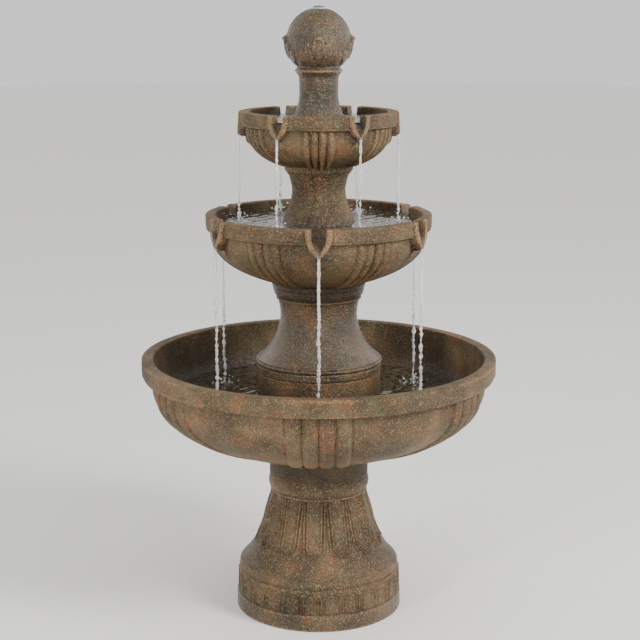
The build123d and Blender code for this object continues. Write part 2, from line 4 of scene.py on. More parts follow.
import bmesh
import bpy
import numpy as np
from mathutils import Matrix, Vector


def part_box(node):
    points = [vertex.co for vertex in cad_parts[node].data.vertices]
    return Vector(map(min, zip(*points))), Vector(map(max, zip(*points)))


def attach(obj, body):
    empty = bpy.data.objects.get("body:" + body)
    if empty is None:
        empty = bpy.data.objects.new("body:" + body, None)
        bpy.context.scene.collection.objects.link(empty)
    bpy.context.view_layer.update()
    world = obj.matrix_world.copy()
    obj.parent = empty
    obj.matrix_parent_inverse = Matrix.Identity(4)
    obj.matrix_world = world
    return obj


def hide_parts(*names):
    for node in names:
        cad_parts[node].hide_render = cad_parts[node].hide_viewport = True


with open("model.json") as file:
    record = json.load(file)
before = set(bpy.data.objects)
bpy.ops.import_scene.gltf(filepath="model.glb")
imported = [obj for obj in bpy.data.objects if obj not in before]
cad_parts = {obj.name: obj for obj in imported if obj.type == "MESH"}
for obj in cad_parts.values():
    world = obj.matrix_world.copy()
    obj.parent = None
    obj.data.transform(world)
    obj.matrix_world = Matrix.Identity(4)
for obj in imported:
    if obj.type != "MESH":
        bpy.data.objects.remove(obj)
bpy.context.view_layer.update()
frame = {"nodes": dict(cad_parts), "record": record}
mm = 0.001
print("frame loaded,", len(frame["nodes"]), "nodes")


# Small tools: colours, nodes, sections

def linear(hexColour, alpha=1.0):   # sRGB hex to the linear colour a shader takes
    parts = [int(hexColour[k:k + 2], 16) / 255 for k in (0, 2, 4)]
    return tuple(p / 12.92 if p <= 0.04045 else ((p + 0.055) / 1.055) ** 2.4 for p in parts) + (alpha,)


# an input is a value, or the socket that feeds it
def addNode(tree, kind, inputs=None, stops=None, **settings):
    node = tree.nodes.new(kind)
    for name, value in settings.items():
        setattr(node, name, value)
    for name, value in (inputs or {}).items():
        if isinstance(value, bpy.types.NodeSocket):
            tree.links.new(value, node.inputs[name])
        else:
            node.inputs[name].default_value = value
    for k, (place, colour) in enumerate(stops or []):
        stop = node.color_ramp.elements[k] if k < 2 else node.color_ramp.elements.new(place)
        stop.position, stop.color = place, linear(colour)
    return node


# rows of (result, operation, operands); operands are numbers or earlier results
def workOut(tree, known, rows):
    for result, operation, *operands in rows:
        values = {k: known[v] if isinstance(v, str) else v for k, v in enumerate(operands)}
        known[result] = addNode(tree, "ShaderNodeMath", values, operation=operation).outputs[0]
    return known


def addObject(name, content):   # an object in the scene
    piece = bpy.data.objects.new(name, content)
    bpy.context.scene.collection.objects.link(piece)
    return piece


def finishedMesh(piece):   # the piece's mesh after its modifiers, as a plain mesh
    graph = bpy.context.evaluated_depsgraph_get()
    return bpy.data.meshes.new_from_object(piece.evaluated_get(graph), depsgraph=graph)


def newTree(name, inputs):   # Geometry Nodes tree with these named inputs, and its input node and sockets
    tree = bpy.data.node_groups.new(name, "GeometryNodeTree")
    tree.interface.new_socket("Geometry", in_out="INPUT", socket_type="NodeSocketGeometry")
    tree.interface.new_socket("Geometry", in_out="OUTPUT", socket_type="NodeSocketGeometry")
    for label, kind in inputs.items():
        tree.interface.new_socket(label, in_out="INPUT", socket_type="NodeSocket" + kind)
    source = addNode(tree, "NodeGroupInput")
    return tree, {s.name: s for s in source.outputs if s.name}


def grownPiece(name, mesh, tree, values):   # runs a tree on a mesh and keeps the result as a plain mesh
    piece = addObject(name, mesh)
    modifier = piece.modifiers.new(tree.name, "NODES")
    modifier.node_group = tree
    for item in tree.interface.items_tree:
        if item.in_out == "INPUT" and item.name in values:
            modifier[item.identifier] = values[item.name]
    result = finishedMesh(piece)
    piece.modifiers.clear()
    piece.data = result
    return piece


def shapedBy(tree, mesh, values):   # the mesh after a tree has worked on it
    piece = grownPiece("shaping", mesh, tree, values)
    result = piece.data
    bpy.data.objects.remove(piece)
    return result


def divided(points, step):   # spaces points about step apart; sharp corners stay
    kept = [points[0]]
    for before, point, after in zip(points, points[1:], points[2:]):
        turn = math.atan2(after[1] - point[1], after[0] - point[0]) - math.atan2(point[1] - before[1],
                                                                                 point[0] - before[0])
        if math.dist(kept[-1], point) > 0.7 * step or abs(math.remainder(turn, 2 * math.pi)) > 0.5:
            kept.append(point)
    kept.append(points[-1])
    out = [kept[0]]
    for a, b in zip(kept, kept[1:]):
        n = max(1, math.ceil(math.dist(a, b) / step))
        out += [(a[0] + (b[0] - a[0]) * k / n, a[1] + (b[1] - a[1]) * k / n) for k in range(1, n + 1)]
    return out


def softened(corners, steps=4):   # corners are (radius, height) or (radius, height, rounding)
    out = []
    for k, corner in enumerate(corners):
        point, size = np.array(corner[:2], float), (corner[2] if len(corner) > 2 else 0)
        if not size or k in (0, len(corners) - 1):
            out.append(tuple(point))
            continue
        arms = []
        for other in (corners[k - 1], corners[k + 1]):
            arm = np.array(other[:2], float) - point
            arms.append(arm / np.linalg.norm(arm) * min(size, 0.5 * np.linalg.norm(arm)))
        for t in np.linspace(0, 1, steps + 1):
            out.append(tuple(point + arms[0] * (1 - t) ** 2 + arms[1] * t ** 2))
    return out


# smooth line through points, leaving and arriving in given directions
def flowing(points, start, end, count=24):
    p = np.array(points, float)
    span = np.linalg.norm(np.diff(p, axis=0), axis=1)
    n = len(p)
    matrix, right = np.zeros((n, n)), np.zeros((n, 2))
    matrix[0, 0] = matrix[-1, -1] = 1
    right[0], right[-1] = (np.array(v, float) / np.linalg.norm(v) for v in (start, end))
    for k in range(1, n - 1):
        matrix[k, k - 1], matrix[k, k], matrix[k, k + 1] = span[k], 2 * (span[k] + span[k - 1]), span[k - 1]
        right[k] = 3 * (span[k] * (p[k] - p[k - 1]) / span[k - 1] + span[k - 1] * (p[k + 1] - p[k]) / span[k])
    slope = np.linalg.solve(matrix, right)
    out = []
    for k in range(n - 1):
        for t in np.linspace(0, 1, count, endpoint=k == n - 2):
            out.append(tuple((2 * t ** 3 - 3 * t ** 2 + 1) * p[k] + (t ** 3 - 2 * t ** 2 + t) * span[k]
                             * slope[k]
                             + (3 * t ** 2 - 2 * t ** 3) * p[k + 1] + (t ** 3 - t ** 2) * span[k]
                             * slope[k + 1]))
    return out


def archThrough(a, b, c, count=16):   # arc from a through b to c
    (ax, ay), (bx, by), (cx, cy) = a, b, c
    d = 2 * (ax * (by - cy) + bx * (cy - ay) + cx * (ay - by))
    ux = ((ax ** 2 + ay ** 2) * (by - cy) + (bx ** 2 + by ** 2) * (cy - ay) + (cx ** 2 + cy ** 2)
          * (ay - by)) / d
    uy = ((ax ** 2 + ay ** 2) * (cx - bx) + (bx ** 2 + by ** 2) * (ax - cx) + (cx ** 2 + cy ** 2)
          * (bx - ax)) / d
    radius = math.hypot(ax - ux, ay - uy)
    t0, t1, t2 = (math.atan2(y - uy, x - ux) for x, y in (a, b, c))
    turn = (t2 - t0) % (2 * math.pi)
    if (t1 - t0) % (2 * math.pi) > turn:
        turn -= 2 * math.pi
    return [(ux + radius * math.cos(t0 + turn * k / count), uy + radius * math.sin(t0 + turn * k / count))
            for k in range(count + 1)]


def evenAngles(count):
    return np.arange(count) * 2 * math.pi / count


def ringGrid(name, r, angle, z, closed=True):   # mesh from rings x columns; angle 0 is the front, -Y
    rings, columns = r.shape
    points = np.stack([r * np.sin(angle), -r * np.cos(angle), z], -1).reshape(-1, 3) * mm
    i = np.arange(rings if closed else rings - 1)[:, None]
    j = np.arange(columns)[None, :]
    i2, j2 = (i + 1) % rings, (j + 1) % columns
    faces = np.stack([i * columns + j, i * columns + j2, i2 * columns + j2, i2 * columns + j], -1).reshape(-1, 4)
    mesh = bpy.data.meshes.new(name)
    mesh.from_pydata(points.tolist(), [], faces.tolist())
    solid = bmesh.new()
    solid.from_mesh(mesh)
    bmesh.ops.remove_doubles(solid, verts=solid.verts, dist=0.02 * mm)
    bmesh.ops.dissolve_degenerate(solid, edges=solid.edges, dist=0.005 * mm)
    bmesh.ops.recalc_face_normals(solid, faces=solid.faces)
    solid.to_mesh(mesh)
    solid.free()
    return mesh


def gridOf(line, columns):   # radius, angle and height at every ring and column
    r, z = (np.repeat(np.array(line)[:, k:k + 1], len(columns), 1) for k in (0, 1))
    return r, np.broadcast_to(columns, r.shape), z


def turnedMesh(name, section, columns=240, closed=True):
    line = np.array(section)
    if closed and np.allclose(line[0], line[-1]):
        line = line[:-1]
    return ringGrid(name, *gridOf(line, evenAngles(columns)), closed)


def fromNearest(angle, count, first=0):   # angle from the nearest of so many, the first of them at first degrees
    step = 2 * math.pi / count
    return (angle - math.radians(first) + step / 2) % step - step / 2


def smoothStep(x, low, high):
    t = np.clip((x - low) / (high - low), 0, 1)
    return t * t * (3 - 2 * t)


# stores worn edges, hollows and wet places on the points, for the stone material; the hollows carry painted
# shade in creases and, through the painted shade rule, under the bowls
def markShape(mesh, wetRule, paintedShadeRule, rubRule):
    n = len(mesh.vertices)
    place, normal = np.empty(n * 3), np.empty(n * 3)
    mesh.vertices.foreach_get("co", place)
    mesh.vertex_normals.foreach_get("vector", normal)
    place, normal = place.reshape(-1, 3) / mm, normal.reshape(-1, 3)
    edge = np.empty(len(mesh.edges) * 2, int)
    mesh.edges.foreach_get("vertices", edge)
    first, second = edge.reshape(-1, 2).T
    along = place[second] - place[first]
    length = np.linalg.norm(along, axis=1)
    rise, total = np.zeros(n), np.zeros(n)
    np.add.at(rise, first, (along * normal[first]).sum(1))
    np.add.at(rise, second, -(along * normal[second]).sum(1))
    np.add.at(total, first, length ** 2)
    np.add.at(total, second, length ** 2)
    bend = -2 * rise / np.maximum(total, 1e-9)          # curvature per mm, positive on an edge
    for _ in range(3):
        spread, count = bend.copy(), np.ones(n)
        np.add.at(spread, first, bend[second])
        np.add.at(spread, second, bend[first])
        np.add.at(count, first, 1)
        np.add.at(count, second, 1)
        bend = spread / count
    values = {"worn": np.maximum(smoothStep(bend, 0.015, 0.16), rubRule(*place.T)),
              # hollow: concave creases get painted shade, and the painted shade rule adds painted shade under
              # the bowls
              "hollow": np.maximum(smoothStep(-bend, 0.015, 0.16), paintedShadeRule(*place.T)),
              "wet": np.clip(wetRule(*place.T), 0, 1)}
    for name, value in values.items():
        mesh.attributes.new(name, "FLOAT", "POINT").data.foreach_set("value", value.astype(np.float32))


def nowhere(x, y, z):
    return 0 * z


def finishStone(name, mesh, material, wetRule, paintedShadeRule=nowhere, rubRule=nowhere, crease=38):
    mesh.materials.clear()
    mesh.materials.append(material)
    mesh.shade_smooth()
    mesh.set_sharp_from_angle(angle=math.radians(crease))
    markShape(mesh, wetRule, paintedShadeRule, rubRule)
    return addObject(name, mesh)


def archOutline(half, foot, spring, count):   # an opening with upright sides and a round head
    return [(-half, foot), (half, foot)] + [(half * math.cos(t), spring + half * math.sin(t))
                                            for t in np.linspace(0, math.pi, count)]


def prismMesh(outline, axis, low, high):   # closed prism on an outline, standing on axis "y" or "z"
    solid = bmesh.new()
    ends = []
    for level in (low, high):
        points = [(u, level, v) if axis == "y" else (u, v, level) for u, v in outline]
        ends.append([solid.verts.new(Vector(p) * mm) for p in points])
    for end in ends:
        solid.faces.new(end)
    for k in range(len(outline)):
        solid.faces.new([ends[0][k - 1], ends[0][k], ends[1][k], ends[1][k - 1]])
    bmesh.ops.recalc_face_normals(solid, faces=solid.faces)
    mesh = bpy.data.meshes.new("prism")
    solid.to_mesh(mesh)
    solid.free()
    return mesh


def cutOut(mesh, cutters):   # takes the cutters' shapes out of the mesh
    piece = addObject("toCut", mesh)
    tools = [addObject("cutter", cutter) for cutter in cutters]
    for tool in tools:
        modifier = piece.modifiers.new("cut", "BOOLEAN")
        modifier.operation, modifier.object, modifier.solver = "DIFFERENCE", tool, "EXACT"
    bpy.context.view_layer.update()
    result = finishedMesh(piece)
    for spare in tools + [piece]:
        bpy.data.objects.remove(spare)
    return result


def around(mesh, angle):   # a copy of the mesh turned about Z, in degrees
    copy = mesh.copy()
    c, s = math.cos(math.radians(angle)), math.sin(math.radians(angle))
    for v in copy.vertices:
        v.co = Vector((c * v.co.x - s * v.co.y, s * v.co.x + c * v.co.y, v.co.z))
    return copy


# Materials

# Cast stone resin, painted: a dark brown ground, hammered pits that stay dark, rubbed tan and rust high
# points, grey-green patches. Dull where dry, glossy where water runs.
stoneLook = {
    "groundDark": "2E2418", "ground": "564530", "groundLight": "776146",
    "rust": "8A4F27", "verdigris": "4F5137", "tan": "B99E72", "pit": "0E0A06",
    "patchSize": 80 * mm, "rustSize": 34 * mm, "pitSize": 2.9 * mm, "grainSize": 1.3 * mm,
    "pitDepth": 1.7 * mm, "grainDepth": 0.5 * mm, "rustShare": 0.5, "pitShare": 0.6,
    "roughDry": 0.5, "roughWet": 0.12, "wetDark": 0.66, "rustEdge": 0.35, "filmShare": 0.9,
    "tanFrom": 1.14, "tanFull": 1.46, "tanShare": 0.42,
}


def newMaterial(name):   # an empty material, its tree and its Object coordinates
    material = bpy.data.materials.new(name)
    material.use_nodes = True
    material.node_tree.nodes.clear()
    return material, material.node_tree, addNode(material.node_tree, "ShaderNodeTexCoord").outputs["Object"]


def castStone(name, look):
    material, tree, where = newMaterial(name)
    patches = addNode(tree, "ShaderNodeTexNoise", {"Vector": where, "Scale": 1 / look["patchSize"],
                                                   "Detail": 5.0,
                                                   "Roughness": 0.62})
    ground = addNode(tree, "ShaderNodeValToRGB", {"Fac": patches.outputs["Fac"]}, stops=[
        (0.30, look["groundDark"]), (0.52, look["ground"]), (0.72, look["groundLight"])])
    blots = addNode(tree, "ShaderNodeTexNoise", {"Vector": where, "Scale": 1 / look["rustSize"], "Detail": 6.0,
                                                 "Roughness": 0.7, "Distortion": 0.6})
    rustMask = addNode(tree, "ShaderNodeMapRange", {"Value": blots.outputs["Fac"], "From Min": 0.54,
                                                    "From Max": 0.66})
    greenMask = addNode(tree, "ShaderNodeMapRange", {"Value": blots.outputs["Fac"], "From Min": 0.46,
                                                     "From Max": 0.36})
    worn, hollow, wet = (addNode(tree, "ShaderNodeAttribute", attribute_name=n).outputs["Fac"]
                         for n in ("worn", "hollow", "wet"))
    # hammered pits and the finer grain between them
    pits = addNode(tree, "ShaderNodeTexVoronoi", {"Vector": where, "Scale": 1 / look["pitSize"],
                                                  "Smoothness": 0.6,
                                                  "Randomness": 1.0}, feature="SMOOTH_F1")
    warp = addNode(tree, "ShaderNodeTexNoise", {"Vector": where, "Scale": 1.6 / look["pitSize"], "Detail": 2.0})
    grain = addNode(tree, "ShaderNodeTexNoise", {"Vector": where, "Scale": 1 / look["grainSize"], "Detail": 2.5,
                                                 "Roughness": 0.65})
    known = workOut(tree, {"pit": pits.outputs["Distance"], "warp": warp.outputs["Fac"],
                           "grain": grain.outputs["Fac"],
                           "worn": worn, "hollow": hollow, "wet": wet, "rustMask": rustMask.outputs[0],
                           "greenMask": greenMask.outputs[0], "patch": patches.outputs["Fac"]}, (
        ("pitPart", "MULTIPLY", "pit", 0.75),
        ("height", "MULTIPLY_ADD", "warp", 0.9, "pitPart"),
        ("fine", "MULTIPLY_ADD", "grain", 0.55, "height"),
        ("rustEdge", "MULTIPLY", "worn", look["rustEdge"]),
        ("rustPatch", "MULTIPLY", "rustMask", look["rustShare"]),
        ("rustAll", "ADD", "rustEdge", "rustPatch"),
        ("rustCut", "MULTIPLY", "rustAll", "patch"),
        ("rustTotal", "MULTIPLY", "rustCut", 1.55),
        ("green", "MULTIPLY", "greenMask", 0.55),
        ("wetLoss", "MULTIPLY", "wet", look["wetDark"] - 1),
        ("wetTone", "ADD", "wetLoss", 1.0),
        # painted shade: the hollow attribute darkens the colour in creases and under the bowls; wet darkens it
        # too
        ("paintedShadeLoss", "MULTIPLY", "hollow", -0.56),
        ("paintedShadeTone", "ADD", "paintedShadeLoss", 1.0),
        ("wetAndShadeTone", "MULTIPLY", "wetTone", "paintedShadeTone"),
        ("lifted", "MULTIPLY_ADD", "worn", 0.3, "fine"),
        ("film", "MULTIPLY", "wet", look["filmShare"]),
    ))
    colour = addNode(tree, "ShaderNodeMix",
                     {0: known["green"], 6: ground.outputs[0], 7: linear(look["verdigris"])},
                     data_type="RGBA").outputs[2]
    colour = addNode(tree, "ShaderNodeMix", {0: known["rustTotal"], 6: colour, 7: linear(look["rust"])},
                     data_type="RGBA", clamp_factor=True).outputs[2]
    high = addNode(tree, "ShaderNodeMapRange", {"Value": known["lifted"], "From Min": look["tanFrom"],
                                                "From Max": look["tanFull"], "To Max": look["tanShare"]})
    low = addNode(tree, "ShaderNodeMapRange", {"Value": known["fine"], "From Min": 0.98, "From Max": 0.78,
                                               "To Max": look["pitShare"]})
    colour = addNode(tree, "ShaderNodeMix", {0: high.outputs[0], 6: colour, 7: linear(look["tan"])},
                     data_type="RGBA").outputs[2]
    colour = addNode(tree, "ShaderNodeMix", {0: low.outputs[0], 6: colour, 7: linear(look["pit"])},
                     data_type="RGBA").outputs[2]
    wetAndShadeTone = addNode(tree, "ShaderNodeCombineXYZ", {0: known["wetAndShadeTone"], 1: known["wetAndShadeTone"], 2: known["wetAndShadeTone"]})
    colour = addNode(tree, "ShaderNodeMix", {0: 1.0, 6: colour, 7: wetAndShadeTone.outputs[0]},
                     data_type="RGBA", blend_type="MULTIPLY").outputs[2]
    sheen = addNode(tree, "ShaderNodeMapRange",
                    {"Value": wet, "To Min": look["roughDry"], "To Max": look["roughWet"]})
    rough = addNode(tree, "ShaderNodeMath", {0: known["grain"], 1: 0.16, 2: sheen.outputs[0]},
                    operation="MULTIPLY_ADD")
    pitBump = addNode(tree, "ShaderNodeBump", {"Height": known["height"], "Strength": 1.0,
                                               "Distance": look["pitDepth"]})
    grainBump = addNode(tree, "ShaderNodeBump", {"Height": known["grain"], "Strength": 1.0,
                                                 "Distance": look["grainDepth"], "Normal": pitBump.outputs[0]})
    shader = addNode(tree, "ShaderNodeBsdfPrincipled", {
        "Base Color": colour, "Roughness": rough.outputs[0], "Normal": grainBump.outputs[0], "IOR": 1.45,
        "Specular IOR Level": 0.35, "Coat Weight": known["film"], "Coat Roughness": 0.05, "Coat IOR": 1.333,
        "Coat Normal": pitBump.outputs[0]})
    addNode(tree, "ShaderNodeOutputMaterial", {"Surface": shader.outputs[0]})
    return material


columnStone = castStone("castStoneHammered", stoneLook)
bowlStone = castStone("castStoneBrushed", {**stoneLook, "pitDepth": 1.1 * mm, "grainDepth": 0.4 * mm,
                                           "pitSize": 2.4 * mm, "grainSize": 1.2 * mm, "pitShare": 0.45})


# Clear water: smooth, bends light; the streams carry some air, so they are partly white
def freshWater(name, clearness, roughness, tint, shine):
    material, tree, where = newMaterial(name)
    air = addNode(tree, "ShaderNodeTexNoise", {"Vector": where, "Scale": 1 / (9 * mm), "Detail": 3.0})
    white = addNode(tree, "ShaderNodeMapRange", {"Value": air.outputs["Fac"], "From Min": 0.35, "From Max": 0.7,
                                                 "To Min": clearness, "To Max": clearness * 0.7})
    bump = addNode(tree, "ShaderNodeBump", {"Height": air.outputs["Fac"], "Distance": 0.5 * mm, "Strength": 0.5})
    shader = addNode(tree, "ShaderNodeBsdfPrincipled", {"Base Color": linear(tint), "Roughness": roughness,
                                                        "IOR": 1.333, "Specular IOR Level": shine,
                                                        "Transmission Weight": white.outputs[0],
                                                        "Normal": bump.outputs[0]})
    addNode(tree, "ShaderNodeOutputMaterial", {"Surface": shader.outputs[0]})
    return material


poolWater = freshWater("waterStill", 1.0, 0.02, "9C8E72", 0.1)
streamWater = freshWater("waterFalling", 0.75, 0.06, "FFFFFF", 0.5)


# Plain workshop materials for the pump and fittings: colour varies with a fine noise, bump from the same
def workshopFinish(name, colour, darker, grainSize, roughness, bump, metallic=0.0, lines=None, ior=1.5):
    material, tree, where = newMaterial(name)
    grain = addNode(tree, "ShaderNodeTexNoise", {"Vector": where, "Scale": 1 / grainSize, "Detail": 3.0})
    height = grain.outputs["Fac"]
    if lines:   # laminations, windings or mould lines at a real spacing, along one axis
        wave = addNode(tree, "ShaderNodeTexWave",
                       {"Vector": where, "Scale": 0.314 / lines[1], "Distortion": 0.3},
                       bands_direction=lines[0])
        height = addNode(tree, "ShaderNodeMath", {0: wave.outputs["Fac"], 1: 0.8, 2: height},
                         operation="MULTIPLY_ADD").outputs[0]
    mix = addNode(tree, "ShaderNodeMapRange",
                  {"Value": height, "From Min": 0.3, "From Max": 1.2 if lines else 0.7})
    tint = addNode(tree, "ShaderNodeMix", {0: mix.outputs[0], 6: linear(darker), 7: linear(colour)},
                   data_type="RGBA")
    rough = addNode(tree, "ShaderNodeMapRange", {"Value": grain.outputs["Fac"], "To Min": roughness - 0.06,
                                                 "To Max": roughness + 0.1})
    relief = addNode(tree, "ShaderNodeBump", {"Height": height, "Distance": bump, "Strength": 0.6})
    settings = {"Base Color": tint.outputs[2], "Roughness": rough.outputs[0], "Metallic": metallic,
                "Normal": relief.outputs[0]}
    if not metallic:
        settings["IOR"] = ior
    shader = addNode(tree, "ShaderNodeBsdfPrincipled", settings)
    addNode(tree, "ShaderNodeOutputMaterial", {"Surface": shader.outputs[0]})
    return material


fittings = {
    # EPDM rubber, moulded: black, dull, faintly mottled
    "stopper_rubber": workshopFinish("rubberMoulded", "2A2A2B", "1B1B1C", 1.5 * mm, 0.62, 0.1 * mm, ior=1.52),
    # PVC hose, extruded: milky grey-green, glossy, faint lines along it
    "hose_vinyl": workshopFinish("vinylExtruded", "B9C2B4", "A3AD9E", 6 * mm, 0.28, 0.05 * mm, ior=1.54),
    # polypropylene, turned smooth: dark grey, satin
    "outlet_plastic": workshopFinish("polypropyleneMoulded", "3A3B3B", "2C2D2D", 2 * mm, 0.42, 0.06 * mm,
                                     ior=1.49),
    # stainless steel, rolled strip: bright, brushed along the band
    "clamp_steel": workshopFinish("stainlessRolled", "B8B9BA", "8E9092", 0.8 * mm, 0.32, 0.04 * mm, metallic=1.0,
                                  lines=("Z", 0.9 * mm)),
    # ABS, moulded with a spark-eroded texture: near black, fine orange peel
    "pump_plastic": workshopFinish("absTextured", "26292C", "191B1D", 0.9 * mm, 0.48, 0.08 * mm, ior=1.53),
    "grille_plastic": workshopFinish("absSatin", "2E3236", "212427", 1.2 * mm, 0.4, 0.06 * mm, ior=1.53),
    # the regulator is a contrasting grey-blue, polished by fingers
    "dial_plastic": workshopFinish("acetalMoulded", "5B7488", "4A6175", 1.2 * mm, 0.3, 0.04 * mm, ior=1.48),
    "impeller_plastic": workshopFinish("nylonMoulded", "C9C6BA", "B2AFA2", 1.4 * mm, 0.38, 0.05 * mm, ior=1.53),
    # silicon steel sheets, 0.5 mm each, stamped and stacked
    "core_iron": workshopFinish("siliconSteelStacked", "6D6A66", "403D3A", 1.0 * mm, 0.45, 0.15 * mm,
                                metallic=1.0,
                                lines=("Z", 1.0 * mm)),
    # enamelled copper wire, wound: 1 mm pitch shows where 0.3 mm wire would blur
    "coil_copper": workshopFinish("copperWound", "B5652F", "6E3716", 1.0 * mm, 0.34, 0.3 * mm, metallic=1.0,
                                  lines=("Y", 1.0 * mm)),
    # sintered ferrite: charcoal, dry, slightly granular
    "magnet_ferrite": workshopFinish("ferriteSintered", "35353A", "252529", 0.7 * mm, 0.55, 0.08 * mm, ior=1.7),
    # alumina, ground: ivory, glossy
    "shaft_ceramic": workshopFinish("aluminaGround", "EFEBDF", "E2DDCF", 0.6 * mm, 0.2, 0.02 * mm, ior=1.7),
}
nodeSlots = {part["node"]: part["material_slot"] for part in frame["record"]["subparts"]}
for nodeName, slotName in nodeSlots.items():
    finish = fittings.get(slotName, bowlStone if slotName == "bowl_stone" else columnStone)
    for holder in frame["nodes"][nodeName].material_slots:
        holder.material = finish
print("materials ready")


# Heights and radii that the stones share, in millimetres, read off the frame
def sizeOf(node):
    low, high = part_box(node)
    return [v / mm for v in low], [v / mm for v in high]


pedestalTop = sizeOf("base_pedestal")[1][2]
lowerFoot = pedestalTop
lowerFootTall = 41
lowerSeat = lowerFoot + lowerFootTall
lowerRim = sizeOf("lower_bowl")[1][2]
housingTop = sizeOf("lower_column")[0][2]
middleSeat = sizeOf("lower_column")[1][2]
middleFloor = sizeOf("upper_column")[0][2]
topSeat = sizeOf("upper_column")[1][2]
topFloor = sizeOf("finial")[0][2]
finialTop = sizeOf("finial")[1][2]
waterLevels = {"lower": 375.0, "middle": 683.3, "top": 858.2}


# Pedestal
pedestal = {
    "plinthRadius": 145.4, "plinthHeight": 28, "archRadius": 142, "archTop": 72, "shoulderRadius": 139.4,
    "shoulderTop": 84, "neckRadius": 83.4, "neckTop": 214, "beadStand": 4.4, "wall": 9,
    "notchWidth": 26, "notchHeight": 20,
}
# panels pressed in relief: two ridges side by side, round at one end
tongues = {"Copies": 14, "First Angle": math.radians(-4.6), "Outer": 17.6 * mm, "Inner": 12.4 * mm,
           "Spring": 133.5 * mm,
           "Turn": -1.0, "Stretch": 1.22, "Low": 90 * mm, "High": 211 * mm, "Rise": 1.8 * mm, "Sink": 0.8 * mm,
           "Ridge": 1.25 * mm}
arches = {"Copies": 26, "First Angle": math.radians(-4.6), "Outer": 15.2 * mm, "Inner": 9.9 * mm,
          "Spring": 51.5 * mm,
          "Turn": 1.0, "Stretch": 1.0, "Low": 31.2 * mm, "High": 71 * mm, "Rise": 1.7 * mm, "Sink": 0.7 * mm,
          "Ridge": 1.2 * mm}


def pedestalSection(s):
    spread, rise = s["shoulderRadius"] - s["neckRadius"], s["neckTop"] - s["shoulderTop"]
    flare = flowing([(s["shoulderRadius"], s["shoulderTop"]),
                     (s["neckRadius"] + 0.59 * spread, s["shoulderTop"] + 0.21 * rise),
                     (s["neckRadius"] + 0.27 * spread, s["shoulderTop"] + 0.51 * rise),
                     (s["neckRadius"] + 0.09 * spread, s["shoulderTop"] + 0.80 * rise),
                     (s["neckRadius"] - 0.6, s["neckTop"] - 3)], (-1, 0.75), (0, 1))
    bead = archThrough((s["neckRadius"] + 0.6, s["neckTop"] + 2),
                       (s["neckRadius"] + s["beadStand"], (s["neckTop"] + pedestalTop) / 2),
                       (s["neckRadius"] + 0.2, pedestalTop - 2.5))
    boreFoot, bore = s["archRadius"] - s["wall"], s["neckRadius"] - s["wall"]
    foot = softened([(boreFoot, 0), (s["plinthRadius"], 0, 1.5), (s["plinthRadius"] - 1, s["plinthHeight"], 2.2),
                     (s["archRadius"] + 0.2, s["plinthHeight"] + 0.4, 0.8),
                     (s["archRadius"] - 0.6, s["plinthHeight"] + 2),
                     (s["archRadius"] - 0.9, s["archTop"] - 1, 1.2),
                     (s["shoulderRadius"] - 0.8, s["archTop"] + 0.6, 0.8),
                     (s["shoulderRadius"] + 0.3, s["archTop"] + 3, 1.2),
                     (s["shoulderRadius"] + 0.2, s["shoulderTop"] - 1.5, 2.5), flare[4]])
    ledge = softened([flare[-1], (s["neckRadius"] - 0.6, s["neckTop"] - 2.6),
                      (s["neckRadius"] + 1.2, s["neckTop"] - 2, 0.5),
                      (s["neckRadius"] + 1.4, s["neckTop"] + 1.2, 0.8), bead[0]])
    inside = [bead[-1], (s["neckRadius"] - 0.4, pedestalTop), (bore, pedestalTop), (bore, s["neckTop"] - 10),
              (s["neckRadius"] + 0.27 * spread - s["wall"], s["shoulderTop"] + 0.4 * rise),
              (boreFoot - 2, s["archTop"]), (boreFoot, 0)]
    low, high = [p for p in flare[5:] if p[1] < 108], [p for p in flare[5:] if p[1] >= 108]
    return (divided(foot, 1.9) + divided(low, 4) + divided(high, 2.1) + divided(ledge, 2)[1:]
            + divided(bead[::2], 1.9)[1:] + divided(inside, 22)[1:])


def reliefTree(name, sizes):   # starts a tree that moves points in and out, and works out where each point is
    tree, given = newTree(name, {"Copies": "Int", "First Angle": "Float", **dict.fromkeys(sizes, "Float")})
    here = addNode(tree, "GeometryNodeInputPosition")
    apart = addNode(tree, "ShaderNodeSeparateXYZ", {0: here.outputs[0]})
    normal = addNode(tree, "GeometryNodeInputNormal").outputs[0]
    facing = addNode(tree, "ShaderNodeSeparateXYZ", {0: normal})
    known = dict(given, X=apart.outputs[0], Y=apart.outputs[1], Z=apart.outputs[2], normal=normal,
                 nx=facing.outputs[0], ny=facing.outputs[1])
    return tree, workOut(tree, known, (   # u is the distance along the ring from the middle of the nearest copy
        ("backY", "MULTIPLY", "Y", -1.0), ("xx", "MULTIPLY", "X", "X"),
        ("rr", "MULTIPLY_ADD", "Y", "Y", "xx"), ("r", "SQRT", "rr"), ("fromFront", "ARCTAN2", "X", "backY"),
        ("turned", "SUBTRACT", "fromFront", "First Angle"), ("step", "DIVIDE", 2 * math.pi, "Copies"),
        ("steps", "DIVIDE", "turned", "step"), ("whole", "ROUND", "steps"),
        ("part", "SUBTRACT", "steps", "whole"), ("local", "MULTIPLY", "part", "step"),
        ("u", "MULTIPLY", "local", "r"),
        ("n1", "MULTIPLY", "nx", "X"), ("n2", "MULTIPLY_ADD", "ny", "Y", "n1")))


def endRelief(tree, known):   # moves each point along its normal by its offset
    shift = addNode(tree, "ShaderNodeVectorMath", {0: known["normal"], "Scale": known["offset"]},
                    operation="SCALE")
    moved = addNode(tree, "GeometryNodeSetPosition", {"Geometry": known["Geometry"], "Offset": shift.outputs[0]})
    real = addNode(tree, "GeometryNodeRealizeInstances", {"Geometry": moved.outputs[0]})
    addNode(tree, "NodeGroupOutput", {"Geometry": real.outputs[0]})
    return tree


